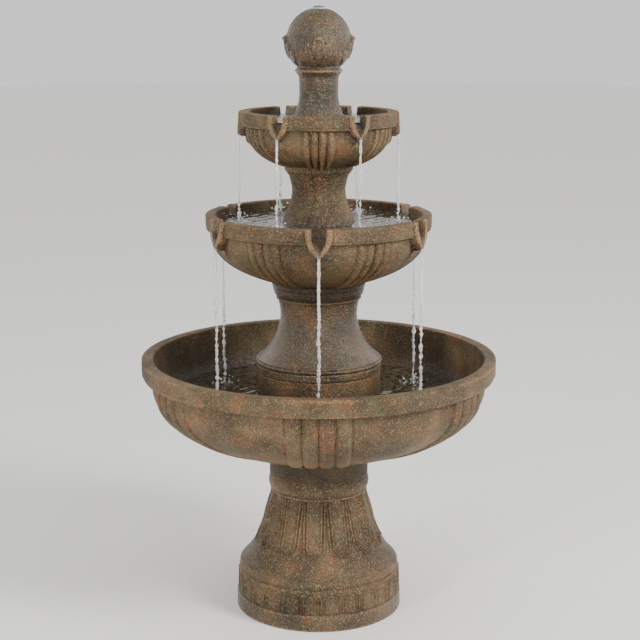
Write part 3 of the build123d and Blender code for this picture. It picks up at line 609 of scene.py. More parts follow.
def panelTree():   # raises two nested ridges around each panel and sinks the lines beside them
    tree, known = reliefTree("pressedPanels", ("Outer", "Inner", "Spring", "Turn", "Stretch", "Low", "High",
                                               "Rise",
                                               "Sink", "Ridge"))
    rows = [
        ("above", "SUBTRACT", "Z", "Spring"), ("past", "MULTIPLY", "above", "Turn"),
        ("stretched", "MULTIPLY", "past", "Stretch"), ("w", "MAXIMUM", "stretched", 0.0),
        ("ww", "MULTIPLY", "w", "w"), ("dd", "MULTIPLY_ADD", "u", "u", "ww"), ("d", "SQRT", "dd"),
        ("middle0", "ADD", "Outer", "Inner"), ("middle", "MULTIPLY", "middle0", 0.5),
        ("twoRidges", "MULTIPLY", "Ridge", 2.3),
        ("outside", "ADD", "Outer", "twoRidges"), ("inside", "SUBTRACT", "Inner", "twoRidges")]
    for name, centre in (("ridgeA", "Outer"), ("ridgeB", "Inner"), ("lineA", "middle"), ("lineB", "outside"),
                         ("lineC", "inside")):
        rows += [(name + "0", "SUBTRACT", "d", centre), (name + "1", "DIVIDE", name + "0", "Ridge"),
                 (name + "2", "MULTIPLY", name + "1", name + "1"), (name + "3", "MULTIPLY", name + "2", -1.0),
                 (name, "EXPONENT", name + "3")]
    rows += [
        ("ridges", "ADD", "ridgeA", "ridgeB"), ("up", "MULTIPLY", "ridges", "Rise"),
        ("lines0", "ADD", "lineA", "lineB"), ("lineC4", "MULTIPLY", "lineC", 0.6),
        ("lines", "ADD", "lines0", "lineC4"), ("down", "MULTIPLY", "lines", "Sink"),
        ("move", "SUBTRACT", "up", "down"), ("outward", "GREATER_THAN", "n2", 0.0),
        ("overLow", "GREATER_THAN", "Z", "Low"), ("underHigh", "LESS_THAN", "Z", "High"),
        ("m1", "MULTIPLY", "move", "outward"), ("m2", "MULTIPLY", "m1", "overLow"),
        ("offset", "MULTIPLY", "m2", "underHigh")]
    return endRelief(tree, workOut(tree, known, rows))


def dampFoot(x, y, z):   # a little damp where splashes run down
    return 0.25 * smoothStep(z, 60, 0) + 0.15


shape = turnedMesh("pedestalStone", pedestalSection(pedestal), 560)
panels = panelTree()
for settings in (tongues, arches):
    shape = shapedBy(panels, shape, settings)
halfNotch = pedestal["notchWidth"] / 2
notch = prismMesh(archOutline(halfNotch, -5, pedestal["notchHeight"] - halfNotch, 20), "y", 120, 160)
pedestalPiece = finishStone("pedestal_stone", cutOut(shape, [notch]), columnStone, dampFoot)
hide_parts("base_pedestal")
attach(pedestalPiece, "base")
print("pedestal done")


# Bowls
lowerBowl = {"rim": lowerRim, "rimRadius": 305, "rimWidth": 20, "bandHeight": 30.2, "bandStand": 17,
             "upright": 17,
             "bodyDrop": 120, "seatRadius": 88, "wall": 9, "floor": 15, "detail": 3.6, "footRadius": 86,
             "spigot": 73.4, "spigotDeep": 16, "curb": 97, "curbWidth": 6, "curbRise": 8,
             "holes": ((-50, 9), (50, 10))}   # place and radius of the plugged hole and the cord's hole
middleBowl = {"rim": middleSeat + 115.3, "rimRadius": 192, "rimWidth": 17, "bandHeight": 25.8, "bandStand": 10.5,
              "upright": 6.5, "bodyDrop": 83, "seatRadius": 78, "wall": 8, "floor": 11,
              "spigot": 59, "curb": 61, "standpipe": (12, 16), "detail": 2.0}
topBowl = {"rim": topSeat + 90.9, "rimRadius": 132.4, "rimWidth": 15.4, "bandHeight": 23.4, "bandStand": 9.6,
           "upright": 9, "bodyDrop": 58.5, "seatRadius": 57, "wall": 7, "floor": 10.5,
           "spigot": 44, "curb": 35.5, "standpipe": (12, 16), "detail": 1.5}
middleSpouts = {"width": 44, "opening": 26, "height": 48, "lip": 8, "stand": 6.5, "lean": 3.0, "sill": 17,
                "count": 6, "first": 0}
topSpouts = {"width": 38, "opening": 22, "height": 40, "lip": 7, "stand": 4.8, "lean": 2.2, "sill": 14,
             "count": 6, "first": 30}
# flutes: lobes per group, lobe width where the body is widest, how fast they narrow towards the foot
lowerFlutes = {"Copies": 6, "Lobes": 4.0, "Lobe Width": 27 * mm, "Widest": 288 * mm, "Taper": 0.16,
               "First Angle": 0.0, "Groove": 2.0 * mm, "Swell": 3.6 * mm, "End Radius": 96 * mm}
middleFlutes = {"Copies": 6, "Lobes": 4.0, "Lobe Width": 15.5 * mm, "Widest": 181.5 * mm, "Taper": 0.75,
                "First Angle": math.radians(30), "Groove": 2.1 * mm, "Swell": 2.8 * mm, "End Radius": 82 * mm}
topFlutes = {"Copies": 6, "Lobes": 4.0, "Lobe Width": 13.8 * mm, "Widest": 122.8 * mm, "Taper": 0.55,
             "First Angle": 0.0, "Groove": 1.8 * mm, "Swell": 2.4 * mm, "End Radius": 60 * mm}


def sideOf(centre, across, high, startRadius, count=40):   # side of an ellipse, from below up to its widest
    start = math.acos(startRadius / across)
    return [(across * math.cos(t), centre - high * math.sin(t)) for t in np.linspace(start, 0, count)]


# the four visible runs of a bowl's section: outside, rim, inside; and its seat and floor heights
def bowlLines(b):
    rim = b["rim"]
    seat = rim - b["bandHeight"] - b["upright"] - b["bodyDrop"]
    body, under = b["rimRadius"] - b["bandStand"], rim - b["bandHeight"]
    centre, floor = seat + b["bodyDrop"], seat + b["floor"]
    curve = b["bodyDrop"] / math.sqrt(1 - (b["seatRadius"] / body) ** 2)
    innerRadius, innerCurve = body - b["wall"], curve - b["wall"]
    floorEdge = innerRadius * math.sqrt(1 - ((centre - floor) / innerCurve) ** 2)
    outside = sideOf(centre, body, curve, b["seatRadius"])
    size, mouth = b["detail"], b["rimRadius"] - b["rimWidth"]
    band = softened([outside[-1], (body, under - 1.2), (body + 1.2, under, 1.2),
                     (b["rimRadius"] - 1.6, under, 1.2),
                     (b["rimRadius"] - 1.4, under + 4.4, 0.5), (b["rimRadius"], under + 5.2, 0.8),
                     (b["rimRadius"], rim - 4.2)])
    crown = softened([(b["rimRadius"], rim - 4.2), (b["rimRadius"], rim, 4.2), (mouth, rim, 4.2),
                      (mouth - 0.3, rim - 5)])
    inside = sideOf(centre, innerRadius, innerCurve, floorEdge)[::-1]
    down = [(mouth - 0.3, rim - 5)] + [inside[0]]
    return {"outside": divided(outside, 1.7 * size) + divided(band, size)[1:],
            "crown": divided(crown, 1.1 * size),
            "inside": divided(down, 1.4 * size) + divided(inside, 3 * size)[1:], "seat": seat, "floor": floor,
            "floorEdge": floorEdge, "under": under, "body": body, "centre": centre, "curve": curve}


def spoutColumns(b, spouts, gapStep):   # column angles: close together across a spout, even between spouts
    half = spouts["width"] / 2
    slot = spouts["opening"] / spouts["width"]
    marks = [0, .07, .14, .21, .28, .35, .41, .46, .50, .535] + [slot - 0.012, slot, slot + 0.03]
    marks += [.66, .72, .79, .86, .91, .95, .98, 1.0, 1.035, 1.07, 1.13, 1.22, 1.36, 1.55, 1.77, 2.0]
    marks = sorted(m for m in set(marks) if not slot - 0.05 < m < slot - 0.013)
    near = sorted({s * m for m in marks for s in (-1, 1)})
    near = np.array(near) * half / b["rimRadius"]
    step = 2 * math.pi / spouts["count"]
    free = step - 2 * near[-1]
    gap = near[-1] + free * np.arange(1, math.ceil(free / gapStep)) / math.ceil(free / gapStep)
    one = np.concatenate([near, gap])
    return np.sort(np.concatenate([(one + math.radians(spouts["first"]) + k * step) % (2 * math.pi)
                                   for k in range(spouts["count"])]))


# shapes the lips: side is 0 on the inner wall, 1 outside, between on the rim
def formSpouts(r, angle, z, side, b, s):
    half, slot = s["width"] / 2, s["opening"] / 2
    tall, low = s["height"], s["height"] - s["lip"]
    local = fromNearest(angle, s["count"], s["first"])
    middle = angle - local
    u = local * b["rimRadius"]
    share = np.abs(u) / half
    table = np.linspace(0, low, 80)
    ratio = slot * (1 - (table / low) ** 2.2) / (half * (1 - (table / tall) ** 2.8))
    front = np.interp(share, ratio[::-1], table[::-1], right=0)
    front[share > slot / half] = 0
    back = np.where(share < slot / half, s["sill"] * (1 - (share / (slot / half)) ** 10), 0)
    side = side[:, None]
    vee = (1 - side) * back + side * front
    reachDown = (1 - side) * (s["sill"] + 16) + side * (tall + 18)
    depth = b["rim"] - z
    depth = np.where(depth < reachDown, vee + depth * (reachDown - vee) / reachDown, depth)
    narrow = np.where(depth < tall, np.maximum(1 - (np.clip(depth, 0, tall) / tall) ** 2.8, 0.03),
                      np.clip(0.03 + 0.97 * (depth - tall) / 22, 0, 1))
    narrow = 1 + side * (narrow - 1)
    spread = np.where(share <= 1, u * narrow, np.sign(u) * (half * narrow + (np.abs(u) - half) * (2 - narrow)))
    u = np.where(share < 2, spread, u)
    inShield = (1 - smoothStep(share, 1.0, 1.036)) * (depth < tall)
    reach = b["rimRadius"] + s["lean"] + (s["stand"] - s["lean"]) * np.clip(depth / tall, 0, 1)
    fromEdge = (1 - np.minimum(share, 1)) * half * narrow
    fromVee = np.maximum(depth - vee, 0) * 0.55
    rounding = 2.2 * np.exp(-fromEdge / 1.1) + 1.8 * np.exp(-fromVee / 1.2) * (share < slot / half)
    outer = np.where(side > 0.999, reach - rounding, r + side * (reach - b["rimRadius"]))
    r = np.where(side > 0, r + inShield * (outer - r), r)
    return r, middle + u / b["rimRadius"], b["rim"] - depth


def fluteTree():   # pushes a bowl's outside in along grooves and out between them, in groups around it
    tree, known = reliefTree("bowlFlutes", ("Lobes", "Lobe Width", "Widest", "Taper", "Groove", "Swell",
                                            "End Radius",
                                            "End Height", "Top Height"))
    return endRelief(tree, workOut(tree, known, (
        ("share", "DIVIDE", "r", "Widest"), ("narrowing", "POWER", "share", "Taper"),
        ("width", "MULTIPLY", "Lobe Width", "narrowing"), ("halfWidth", "MULTIPLY", "width", 0.5),
        ("lobe", "DIVIDE", "u", "width"), ("lobeSize", "ABSOLUTE", "lobe"),
        ("lastGroove", "MULTIPLY", "Lobes", 0.5), ("groove", "ROUND", "lobe"),
        ("offGroove", "SUBTRACT", "lobe", "groove"), ("off", "ABSOLUTE", "offGroove"),
        ("edge", "MULTIPLY", "off", "width"), ("inGroup", "LESS_THAN", "lobeSize", "lastGroove"),
        ("past", "SUBTRACT", "lobeSize", "lastGroove"), ("pastEdge", "MULTIPLY", "past", "width"),
        ("dr", "SUBTRACT", "r", "End Radius"), ("dz", "SUBTRACT", "Z", "End Height"),
        ("drr", "MULTIPLY", "dr", "dr"), ("dd", "MULTIPLY_ADD", "dz", "dz", "drr"), ("away", "SQRT", "dd"),
        ("sign", "SIGN", "dr"), ("fromEnd", "MULTIPLY", "away", "sign"),
        ("lack0", "SUBTRACT", "halfWidth", "fromEnd"), ("lack", "MAXIMUM", "lack0", 0.0),
        ("across", "SUBTRACT", "halfWidth", "edge"), ("aa", "MULTIPLY", "across", "across"),
        ("hh", "MULTIPLY_ADD", "lack", "lack", "aa"), ("h", "SQRT", "hh"),
        ("e", "SUBTRACT", "halfWidth", "h"), ("e1", "DIVIDE", "e", 1.9 * mm), ("e2", "MULTIPLY", "e1", "e1"),
        ("e3", "MULTIPLY", "e2", -1.0), ("cut", "EXPONENT", "e3"), ("ePlus", "MAXIMUM", "e", 0.0),
        ("e4", "DIVIDE", "ePlus", "halfWidth"), ("e5", "SUBTRACT", 1.0, "e4"), ("e6", "POWER", "e5", 2.4),
        ("full", "SUBTRACT", 1.0, "e6"), ("out", "MULTIPLY", "full", "Swell"),
        ("in", "MULTIPLY", "cut", "Groove"), ("lobeMove", "SUBTRACT", "out", "in"),
        ("insideMove", "MULTIPLY", "lobeMove", "inGroup"), ("p1", "DIVIDE", "pastEdge", 1.9 * mm),
        ("p2", "MULTIPLY", "p1", "p1"), ("p3", "MULTIPLY", "p2", -1.0), ("p4", "EXPONENT", "p3"),
        ("p5", "MULTIPLY", "p4", "Groove"), ("notIn", "SUBTRACT", 1.0, "inGroup"),
        ("p6", "MULTIPLY", "p5", "notIn"), ("aboveEnd", "GREATER_THAN", "fromEnd", 0.0),
        ("p7", "MULTIPLY", "p6", "aboveEnd"), ("move", "SUBTRACT", "insideMove", "p7"),
        ("n3", "DIVIDE", "n2", "r"), ("outward", "GREATER_THAN", "n3", 0.08),
        ("under", "LESS_THAN", "Z", "Top Height"), ("limit", "SUBTRACT", "End Radius", 9 * mm),
        ("beyond", "GREATER_THAN", "r", "limit"),
        ("m1", "MULTIPLY", "move", "outward"), ("m2", "MULTIPLY", "m1", "under"),
        ("offset", "MULTIPLY", "m2", "beyond"))))


def fluted(mesh, lines, settings):
    endRadius = settings["End Radius"] / mm
    endHeight = lines["centre"] - lines["curve"] * math.sqrt(1 - (endRadius / lines["body"]) ** 2)
    return shapedBy(flutes, mesh,
                    {**settings, "End Height": endHeight * mm, "Top Height": (lines["under"] - 0.6) * mm})


def spoutedBowl(name, b, s, gapStep, fluteSettings):
    lines = bowlLines(b)
    seat, floor = lines["seat"], lines["floor"]
    pipeIn, pipeOut = b["standpipe"]
    pipeTop = b["rim"] - s["sill"] + 6
    floorLine = softened([(lines["floorEdge"], floor), (b["curb"], floor), (b["curb"], floor + 8, 1.5),
                          (b["curb"] - 6, floor + 8, 1.5),
                          (b["curb"] - 6, floor), (pipeOut, floor), (pipeOut, pipeTop, 1), (pipeIn, pipeTop, 1),
                          (pipeIn, seat), (b["spigot"] - b["wall"], seat), (b["spigot"] - b["wall"], seat - 16),
                          (b["spigot"], seat - 16, 1), (b["spigot"], seat), (b["seatRadius"], seat)], 2)
    rest = divided(floorLine, 12)[1:-1]
    line = lines["outside"] + lines["crown"][1:] + lines["inside"][1:] + rest
    mouth = b["rimRadius"] - b["rimWidth"]
    side = np.array([1.0] * len(lines["outside"])
                    + [min(max((p[0] - mouth) / b["rimWidth"], 0), 1) for p in lines["crown"][1:]]
                    + [0.0] * (len(line) - len(lines["outside"]) - len(lines["crown"]) + 1))
    columns = spoutColumns(b, s, gapStep)
    r, angle, z = formSpouts(*gridOf(line, columns), side, b, s)
    return fluted(ringGrid(name, r, angle, z), lines, fluteSettings)


def wetBowl(level, reach, b, s=None):   # wet inside the bowl up to a little over the water, and in the spouts
    lines = bowlLines(b)

    def rule(x, y, z):
        r = np.hypot(x, y)
        below = np.clip((lines["centre"] - z) / lines["curve"], 0, 1)
        inside = r < lines["body"] * np.sqrt(1 - below ** 2) - b["wall"] / 2
        wet = smoothStep(z, level + reach, level) * inside * (z > lines["floor"] - 4)
        if s:
            local = fromNearest(np.arctan2(x, -y), s["count"], s["first"])
            near = smoothStep(np.abs(local) * b["rimRadius"], s["opening"] / 2 + 3, s["opening"] / 2 - 3)
            channel = near * smoothStep(b["rim"] - z, 3, 9) * (r > b["rimRadius"] - b["rimWidth"] - 6)
            wet = np.maximum(wet, channel * (z > b["rim"] - s["height"] - 3))
        return wet
    return rule


def rubbedSpout(b, s):   # the spouts' arms are rubbed lighter and rustier, most of all at the tip
    def rule(x, y, z):
        local = fromNearest(np.arctan2(x, -y), s["count"], s["first"])
        onArm = (np.abs(local) * b["rimRadius"] < s["width"] / 2 + 1) & (np.hypot(x, y) > b["rimRadius"] + 0.6)
        return onArm * (0.55 + 0.45 * np.clip((b["rim"] - z) / s["height"], 0, 1))
    return rule


flutes = fluteTree()
lines = bowlLines(lowerBowl)
foot = flowing([(lowerBowl["footRadius"], lowerFoot), (lowerBowl["footRadius"], lowerFoot + lowerFootTall / 3),
                (lowerBowl["seatRadius"], lowerSeat)], (0, 1), (0.3, 1), 12)
floor, curbTop = lines["floor"], lines["floor"] + lowerBowl["curbRise"]
curbOut, curbIn = lowerBowl["curb"], lowerBowl["curb"] - lowerBowl["curbWidth"]
inside = softened([(lines["floorEdge"], floor), (curbOut, floor), (curbOut, curbTop, 1.5),
                   (curbIn, curbTop, 1.5),
                   (curbIn, floor), (0, floor)], 2)
spigotOut, spigotEnd = lowerBowl["spigot"], lowerFoot - lowerBowl["spigotDeep"]
spigotIn = spigotOut - lowerBowl["wall"]
under = [(0, lowerSeat), (spigotIn, lowerSeat), (spigotIn, spigotEnd), (spigotOut, spigotEnd),
         (spigotOut, lowerFoot),
         (lowerBowl["footRadius"], lowerFoot)]
line = (divided(under, 12) + divided(foot,
                                     2.2)[1:] + lines["outside"][1:] + lines["crown"][1:] + lines["inside"][1:]
        + divided(inside, 14)[1:])
columns = []
for k in range(6):   # close columns in the fluted sectors, wider between them
    columns += list(math.radians(60 * k) + np.radians(np.arange(-12.5, 12.5, 0.42)))
    columns += list(math.radians(60 * k) + np.radians(np.arange(12.5, 47.5, 1.25)))
columns = np.sort(np.array(columns) % (2 * math.pi))
shape = fluted(ringGrid("lowerBowlStone", *gridOf(line, columns), closed=False), lines, lowerFlutes)
holes = [prismMesh([(x + radius * math.cos(t), radius * math.sin(t)) for t in evenAngles(40)], "z",
                   lowerSeat - 9,
                   lowerSeat + 25) for x, radius in lowerBowl["holes"]]
lowerPiece = finishStone("lower_bowl_stone", cutOut(shape, holes), bowlStone,
                         wetBowl(waterLevels["lower"], 60, lowerBowl),
                          # painted shade on the foot and neck, where the bowl above shades them
                          lambda x, y, z: 0.95 * smoothStep(np.hypot(x, y), 96, 90) * (z < lowerSeat + 6))
middlePiece = finishStone("middle_bowl_stone", spoutedBowl("middleBowlStone", middleBowl, middleSpouts,
                          math.radians(0.9), middleFlutes), bowlStone,
                          wetBowl(waterLevels["middle"], 8, middleBowl, middleSpouts),
                          rubRule=rubbedSpout(middleBowl, middleSpouts))
topPiece = finishStone("top_bowl_stone", spoutedBowl("topBowlStone", topBowl, topSpouts, math.radians(1.0),
                                                     topFlutes),
                       bowlStone, wetBowl(waterLevels["top"], 8, topBowl, topSpouts),
                       rubRule=rubbedSpout(topBowl, topSpouts))
for piece, node, body in ((lowerPiece, "lower_bowl", "basin"), (middlePiece, "middle_bowl", "mid_bowl"),
                          (topPiece, "top_bowl", "high_bowl")):
    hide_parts(node)
    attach(piece, body)
    print(node, "has", len(piece.data.polygons), "faces")


# Pump housing and columns
housing = {"radius": 107, "wall": 9, "spigot": 98.5, "spigotHeight": 12, "inletWidth": 40, "inletHeight": 32}
lowerColumn = {"footRadius": 108.5, "footHeight": 16, "bead": 3.0, "waist": 65.8, "collar": 79.3,
               "collarHeight": 12,
               "bore": 60, "wall": 9}
upperColumn = {"foot": 70, "waist": 45.3, "collar": 57.8, "collarHeight": 12, "bore": 45, "wall": 8}


def housingSection(s):
    floor, top = lowerSeat + lowerBowl["floor"], housingTop
    bore, inner = s["radius"] - s["wall"], s["spigot"] - s["wall"]
    ledge = top - s["spigotHeight"]
    outside = softened([(bore, floor), (s["radius"], floor, 1), (s["radius"], top - 0.4, 1.2),
                        (s["spigot"], top - 0.4),
                        (s["spigot"], top + s["spigotHeight"], 1), (inner, top + s["spigotHeight"], 1),
                        (inner, ledge),
                        (bore, ledge - s["wall"]), (bore, floor)])
    return divided(outside, 3)


def lowerColumnSection(s):
    base, top, tall = housingTop, middleSeat, middleSeat - housingTop
    bandTop = base + s["footHeight"]
    spread, swell = s["footRadius"] - s["waist"], s["collar"] - s["waist"]
    waistHeight = base + 0.62 * tall
    ridge = waistHeight + 0.18 * tall
    collarLow = top - s["collarHeight"]
    foot = softened([(s["footRadius"] - s["wall"], base), (s["footRadius"], base, 1.2),
                     (s["footRadius"], bandTop - 5, 1),
                     (s["footRadius"] - 1.6, bandTop - 4.2), (s["footRadius"] - 1.6, bandTop - 3)])
    beadOne = archThrough((s["footRadius"] - 1.6, bandTop - 3), (s["footRadius"] + 1.0, bandTop),
                          (s["footRadius"] - 2.0, bandTop + 3), 10)
    beadTwo = archThrough((s["footRadius"] - 2.4, bandTop + 3), (s["footRadius"] - 2.0, bandTop + 5),
                          (s["footRadius"] - 4.6, bandTop + 6.6), 8)
    flare = flowing([beadTwo[-1], (s["waist"] + 0.34 * spread, base + 0.31 * tall),
                     (s["waist"] + 0.03 * spread, base + 0.54 * tall),
                     (s["waist"], waistHeight)], (-1, 0.8), (0, 1))
    neck = flowing([flare[-1], (s["waist"] + 0.13 * swell, waistHeight + 0.11 * tall),
                    (s["waist"] + 0.38 * swell, ridge)], (0, 1), (0.5, 1))
    line = softened([neck[-1], (s["waist"] + 0.42 * swell + 1.6, ridge + 0.8, 0.6),
                     (s["waist"] + 0.42 * swell + 1.5, ridge + 3, 0.6),
                     (s["waist"] + 0.45 * swell, ridge + 4)])
    ogee = archThrough(line[-1], (s["waist"] + 0.85 * swell, collarLow - 6), (s["collar"] - 1.2, collarLow))
    collar = archThrough((s["collar"] - 1.2, collarLow + 0.4), (s["collar"] + 0.6, (collarLow + top) / 2),
                         (s["collar"] - 1.2, top))
    inside = [collar[-1], (s["bore"], top), (s["bore"], collarLow - s["wall"]), (s["waist"] - s["wall"], ridge),
              (s["waist"] - s["wall"], base + 0.42 * tall), (s["waist"] + 0.3 * spread, base + 0.2 * tall),
              (s["footRadius"] - s["wall"], bandTop - 4), (s["footRadius"] - s["wall"], base)]
    return (divided(foot, 1.8) + beadOne[1:] + beadTwo[1:] + divided(flare, 2)[1:] + divided(neck, 2)[1:]
            + divided(line, 1.2)[1:] + divided(ogee, 1.8)[1:] + collar + divided(inside, 10)[1:])


def upperColumnSection(s):
    base, top = middleFloor, topSeat
    rim, reach = middleBowl["rim"], topSeat - middleBowl["rim"]
    waistHeight, ledge, buried = rim + reach / 2, top - s["collarHeight"], rim - base
    spread, swell = s["foot"] - s["waist"], s["collar"] - s["waist"]
    shaft = flowing([(s["foot"], base), (s["foot"] - 0.08 * spread, base + 0.45 * buried),
                     (s["waist"] + 0.6 * spread, base + 0.9 * buried),
                     (s["waist"] + 0.19 * spread, rim + 0.17 * reach),
                     (s["waist"], waistHeight)], (0, 1), (0, 1))
    neck = flowing([shaft[-1], (s["waist"] + 0.2 * swell, waistHeight + 0.17 * reach),
                    (s["waist"] + 0.48 * swell, ledge - 3)], (0, 1), (0.5, 1))
    collar = softened([neck[-1], (s["waist"] + 0.62 * swell, ledge - 2.2, 0.6),
                       (s["waist"] + 0.66 * swell, ledge, 0.8),
                       (s["waist"] + 0.80 * swell, ledge + 1.6, 1), (s["collar"] - 0.8, ledge + 3.4, 1.2),
                       (s["collar"] + 0.5, ledge + 6.5, 2.5), (s["collar"] - 0.6, top)])
    inside = [collar[-1], (s["bore"], top), (s["bore"], ledge - s["wall"] + 3),
              (s["waist"] - s["wall"], waistHeight),
              (s["waist"] - s["wall"], rim + 0.17 * reach), (s["foot"] - s["wall"], base + 0.45 * buried),
              (s["foot"] - s["wall"], base), (s["foot"], base)]
    return divided(shaft, 2) + divided(neck, 2)[1:] + divided(collar, 1.2)[1:] + divided(inside, 10)[1:]


shape = turnedMesh("housingStone", housingSection(housing), 240)
halfInlet = housing["inletWidth"] / 2
spring = lowerSeat + lowerBowl["floor"] + housing["inletHeight"] - halfInlet
inlet = prismMesh(archOutline(halfInlet, lowerSeat, spring, 24), "y", 80, 125)
shape = cutOut(shape, [around(inlet, 90 * k) for k in range(4)])
housingPiece = finishStone("pump_housing_stone", shape, columnStone, lambda x, y, z: smoothStep(z, 425, 380))
lowerColumnPiece = finishStone("lower_column_stone",
                               turnedMesh("lowerColumnStone", lowerColumnSection(lowerColumn), 240),
                               columnStone, lambda x, y,
                               z: 0.35 + 0.5 * smoothStep(y, 20, -60) * smoothStep(z, 560, 500),
                               # painted shade on the top of the collar, under the middle bowl
                               lambda x, y, z: 0.95 * smoothStep(z, middleSeat - 34, middleSeat - 24))
upperColumnPiece = finishStone("upper_column_stone",
                               turnedMesh("upperColumnStone", upperColumnSection(upperColumn), 220),
                               columnStone, lambda x, y,
                               z: smoothStep(z, waterLevels["middle"] + 14, waterLevels["middle"]) * 0.8
                               + 0.1)
for piece, node, body in ((housingPiece, "pump_housing", "housing"),
                          (lowerColumnPiece, "lower_column", "low_column"),
                          (upperColumnPiece, "upper_column", "high_column")):
    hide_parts(node)
    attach(piece, body)
print("housing and columns done")


# Finial: shaft, collar and ball, with four leaves cut in relief on the ball
finial = {"foot": 44, "shaft": 32.8, "wall": 7.5, "collar": 39.8, "ball": 54, "ballNeck": 38, "nozzle": 9,
          "tipStand": 4.2, "tipRise": 47.5,
          # each lobe: sideways, up from the neck, half width, half height, lean outwards, relief
          "lobes": ((0, 30, 12.5, 20, 0, 4.2), (14, 27, 9, 15, 22, 3.2), (23, 17, 8.5, 14, 38, 2.6),
                    (9, 9, 12, 14, 10, 2.2)),
          "smallLobes": ((0, 12, 8, 14, 0, 1.6),)}


def finialSection(s):
    centre = finialTop - s["ball"]
    neckDrop = math.sqrt(s["ball"] ** 2 - s["ballNeck"] ** 2)
    holeRise = math.sqrt(s["ball"] ** 2 - s["nozzle"] ** 2)
    bottom = centre - neckDrop
    collarTop = bottom - 3
    collarTall = 0.45 * s["collar"]
    collarLow = collarTop - collarTall
    tall = collarLow - topFloor
    bore, cavity = s["shaft"] - s["wall"], s["ball"] - s["wall"]
    spread = s["foot"] - s["shaft"]
    shaft = flowing([(s["foot"], topFloor), (s["shaft"] + 0.8 * spread, topFloor + 0.52 * tall),
                     (s["shaft"] + 0.15 * spread, topFloor + 0.68 * tall),
                     (s["shaft"], collarLow - 2)], (0, 1), (0, 1))
    collarMid = collarTop - 7.5   # a cove, a thin bead, then the dark recess under the ball
    collar = softened([shaft[-1], (s["shaft"] + 0.8, collarLow + 2, 2),
                       (s["collar"] - 2.6, collarMid - 3.6, 1.5),
                       (s["collar"] - 1.6, collarMid - 2.6, 0.6)])
    bead = archThrough((s["collar"] - 1.8, collarMid - 2.4), (s["collar"], collarMid),
                       (s["collar"] - 1.8, collarMid + 2.6), 8)
    recess = softened([bead[-1], (s["collar"] - 3.6, collarTop - 2.5, 1.0),
                       (s["ballNeck"] - 1.8, collarTop + 1.2, 1.0)])
    turnStart = math.asin(-neckDrop / s["ball"])
    turnEnd = math.asin(holeRise / s["ball"])
    ball = [(s["ball"] * math.cos(t),
             centre + s["ball"] * math.sin(t)) for t in np.linspace(turnStart, turnEnd, 100)]
    low, high = (math.asin(math.sqrt(cavity ** 2 - q ** 2) / cavity) for q in (bore, s["nozzle"]))
    hollow = [(cavity * math.cos(t), centre + cavity * math.sin(t)) for t in np.linspace(high, -low, 24)]
    inside = [hollow[-1], (bore, topFloor + 0.68 * tall), (s["foot"] - s["wall"], topFloor + 0.35 * tall),
              (s["foot"] - s["wall"], topFloor), (s["foot"], topFloor)]
    return (divided(shaft, 1.6) + divided(collar, 1.2)[1:] + bead[1:] + divided(recess, 1.2)[1:] + ball
            + divided(hollow, 8) + divided(inside, 8)[1:])


# leaves spring from the ball's neck; each ends in a curled tip a little above its middle
def carveLeaves(mesh, s):
    centre = finialTop - s["ball"]
    place = np.empty(len(mesh.vertices) * 3)
    mesh.vertices.foreach_get("co", place)
    x, y, z = place.reshape(-1, 3).T / mm
    z = z - centre
    r, gap = np.hypot(x, y), np.sqrt(x ** 2 + y ** 2 + z ** 2)
    onBall = (np.abs(gap - s["ball"]) < 0.3) & (z < 26)
    rise = s["ball"] * np.arcsin(np.clip(z / s["ball"], -1, 1)) + 42   # along the ball, up from its neck
    push = np.zeros(len(z))
    for first, lobes in ((0, s["lobes"]), (45, s["smallLobes"])):
        local = fromNearest(np.arctan2(x, -y), 4, first)
        for side, up, wide, tall, lean, relief in lobes:
            dx, dy = np.abs(local) * r - side, rise - up
            c, n = math.cos(math.radians(lean)), math.sin(math.radians(lean))
            u, v = (dx * c - dy * n) / wide, (dx * n + dy * c) / tall
            q = np.hypot(u, v)
            veins = 0.72 + 0.28 * np.abs(np.cos(4.2 * u * (1 + 0.3 * v)))
            push = np.maximum(push, relief * (1 - smoothStep(q, 0.74, 1.02)) * veins)
        if not first:
            across = np.abs(local) * r
            curl = np.exp(-(across / 8.5) ** 4) * np.exp(-((rise - s["tipRise"]) / 4.0) ** 2)
            push += s["tipStand"] * curl
    scale = np.where(onBall, (gap + push) / gap, 1)
    place = np.stack([x * scale, y * scale, centre + z * scale], -1).ravel() * mm
    mesh.vertices.foreach_set("co", place)
    mesh.update()


shape = turnedMesh("finialStone", finialSection(finial), 300)
carveLeaves(shape, finial)
finialPiece = finishStone("finial_stone", shape, columnStone,
                          lambda x, y,
                          z: 0.15 + 0.7 * smoothStep(y, 5,
                                                     -28) * smoothStep(z, 1035, 1000) + 0.1
                                                     * np.sin(np.arctan2(x, -y) * 5 + z * 0.06))
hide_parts("finial")
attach(finialPiece, "crown")
print("finial done")


# Water: pools with ripples, the falling streams, the drops where they land
pools = {
    "lower": {"inner": 104, "level": waterLevels["lower"], "bowl": lowerBowl, "landings": (196.8, 6, 0),
              "body": "basin"},
    "middle": {"inner": 60, "level": waterLevels["middle"], "bowl": middleBowl, "landings": (136.2, 6, 30),
               "body": "mid_bowl"},
    "top": {"inner": 37.5, "level": waterLevels["top"], "bowl": topBowl, "landings": (44, 5, 10),
            "body": "high_bowl"},
}
rippleLook = {"length": 8.5, "height": 0.75, "reach": 26, "swell": 0.35}


